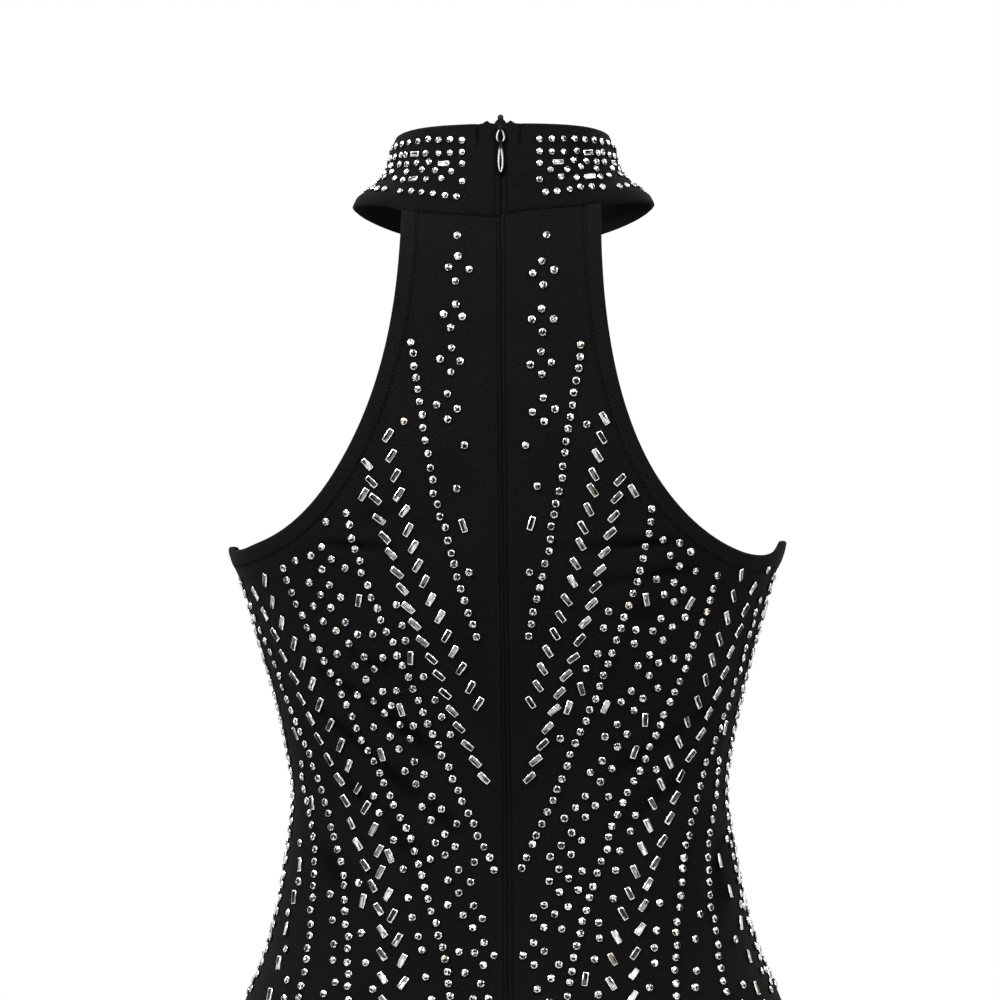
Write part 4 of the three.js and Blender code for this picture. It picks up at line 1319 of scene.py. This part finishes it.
# The collar's stones lie in six rows round the band, with baguettes lying down among them.
# Each step is 6.5 mm along the band, and the pattern comes again after six steps.
LATTICE_NAMES = ("step", "height", "baguette")
LATTICE = [
    (0, 36.3, 0), (1, 36.5, 0), (2, 36.7, 0), (3, 36.7, 0), (4, 36.5, 0), (5, 36.4, 0),
    (0, 29.5, 0), (1, 29.3, 0), (2, 29.3, 0), (3.2, 29.6, 0), (4.35, 29, 1), (5.4, 29, 0),
    (0, 23.5, 0), (1.55, 23.6, 1), (2.9, 24.2, 0), (4.1, 23.8, 0), (5.2, 23.2, 0),
    (0.9, 19.4, 0), (2.3, 19.6, 0), (3.55, 20.4, 0), (5.1, 18.6, 0),
    (0, 14.8, 0), (1.75, 15.8, 0), (3.1, 14.8, 0), (4.35, 14.8, 1), (5.4, 14, 0),
    (0.45, 8.2, 0), (1.4, 8.2, 0), (2.4, 8.8, 0), (3.4, 9.2, 0), (4.4, 9, 0), (5.4, 8.4, 0),
]
COLLAR_START, COLLAR_STEP = 19.8, 6.5
around = np.linspace(0, 1, 400)
for side in ("left", "right"):
    rows = []
    for block in range(6):
        for step, height, flat in LATTICE:
            ring = figure(around, float(height))
            ring_at = travelled(ring)
            spread = mix(ring_at[-1] / 178, 1, math.exp(-block * 6 / 9))
            at = (COLLAR_START + (block * 6 + step) * COLLAR_STEP) * spread
            if at < ring_at[-1] - 2.6:
                rows.append((np.interp(at, ring_at, around), height, 90 if flat else 0, flat))
    rows = np.array(rows)
    rows[:, 1] += rng.normal(0, 0.2, len(rows))
    place, axes = place_on(side, rows[:, 0], rows[:, 1], rows[:, 2])
    place = place + axes[:, 2] * COLLAR_PROUD * MM
    kinds = rows[:, 3].astype(int)
    kept = keep_apart(kinds, (place, axes), -0.3)
    glue(f"stones_collar_{side}", kinds[kept], (place[kept], axes[kept]), 0.84)

# ---- Floor, lights and camera ----
bpy.ops.object.select_all(action="DESELECT")
bpy.ops.mesh.primitive_plane_add(size=9, location=(0, 0, -1.4))
floor = named("studio_floor")
floor.data.materials.append(mottled("pale_floor", 0.7, "#ececec", "#f4f4f4", 6.0, 3.0))

world = bpy.data.worlds.new("studio")
bpy.context.scene.world = world
world.use_nodes = True
world.node_tree.nodes.clear()


def soft_step(value, dark_at, bright_at):
    return node(
        world, "ShaderNodeMapRange", {"interpolation_type": "SMOOTHSTEP"}, Value=value,
        From_Min=dark_at, From_Max=bright_at, To_Min=0.0, To_Max=1.0,
    ).outputs[0]


# Soft boxes stand between the four sides, so a stone's flat parts look into the dark gap
# straight ahead of them while its bevels catch the boxes. The cloth sees an even, dimmer room.
way = node(world, "ShaderNodeTexCoord").outputs["Generated"]
direction = node(world, "ShaderNodeSeparateXYZ", Vector=way).outputs
azimuth = maths(world, "ARCTAN2", direction["X"], direction["Y"])
boxes = soft_step(maths(world, "COSINE", maths(world, "MULTIPLY", azimuth, 4.0)), 0.5, 0.0)
high = soft_step(maths(world, "ABSOLUTE", direction["Z"]), 0.3, 0.45)
glossy_level = maths(world, "MULTIPLY_ADD", maths(world, "MAXIMUM", boxes, high), 1.3, 0.1)
ray = node(world, "ShaderNodeLightPath").outputs
strength = node(
    world, "ShaderNodeMix", {"data_type": "FLOAT"}, _0=ray["Is Glossy Ray"], _2=0.5, _3=glossy_level
).outputs[0]
WHITE = (1, 1, 1, 1)
studio = node(world, "ShaderNodeBackground", Color=WHITE, Strength=strength).outputs[0]
plain = node(world, "ShaderNodeBackground", Color=WHITE, Strength=1.0).outputs[0]
both = node(world, "ShaderNodeMixShader", _0=ray["Is Camera Ray"], _1=studio, _2=plain)
node(world, "ShaderNodeOutputWorld", Surface=both.outputs[0])

# Each lamp: name, azimuth from +Y and height in degrees, distance, size, power and aimed height.
LAMPS = [
    ("key", 44, 40, 1.7, 0.7, 35, 0.02), ("fill", -58, 30, 2.4, 0.8, 27, -0.05),
    ("rim_left", 132, 40, 2.6, 0.9, 22, -0.35), ("rim_right", -140, 34, 2.6, 0.9, 24, -0.35),
    ("low_left", 70, -24, 2.2, 0.4, 2, -0.35), ("low_right", -66, -20, 2.2, 0.4, 2, -0.35),
]
for name, azimuth_deg, height_deg, distance, size, power, aim_z in LAMPS:
    lamp = bpy.data.lights.new(name, "AREA")
    lamp.size = size
    lamp.energy = power
    holder = bpy.data.objects.new(name, lamp)
    bpy.context.collection.objects.link(holder)
    a, h = math.radians(azimuth_deg), math.radians(height_deg)
    aim = np.array([0, 0, aim_z])
    spot = aim + distance * np.array([math.sin(a) * math.cos(h), math.cos(a) * math.cos(h), math.sin(h)])
    holder.location = spot
    holder.rotation_euler = Vector(aim - spot).to_track_quat("-Z", "Y").to_euler()
    holder.visible_camera = False

# The camera stands 3 m behind the back, a little to one side, and takes in 0.52 m there.
CAMERA_AWAY, VIEW_WIDE, SENSOR = 3.0, 0.52, 36
camera_data = bpy.data.cameras.new("camera")
camera_data.sensor_width = SENSOR
camera_data.lens = SENSOR * CAMERA_AWAY / VIEW_WIDE
camera_data.clip_end = 100
camera = bpy.data.objects.new("camera", camera_data)
bpy.context.collection.objects.link(camera)
aside = math.radians(-1.4)
camera.location = (
    0.0035 + CAMERA_AWAY * math.sin(aside), CAMERA_AWAY * math.cos(aside), -0.148
)
camera.rotation_euler = (math.pi / 2, math.radians(0.63), math.pi - aside)
bpy.context.scene.camera = camera
bpy.context.scene.view_settings.view_transform = "Standard"
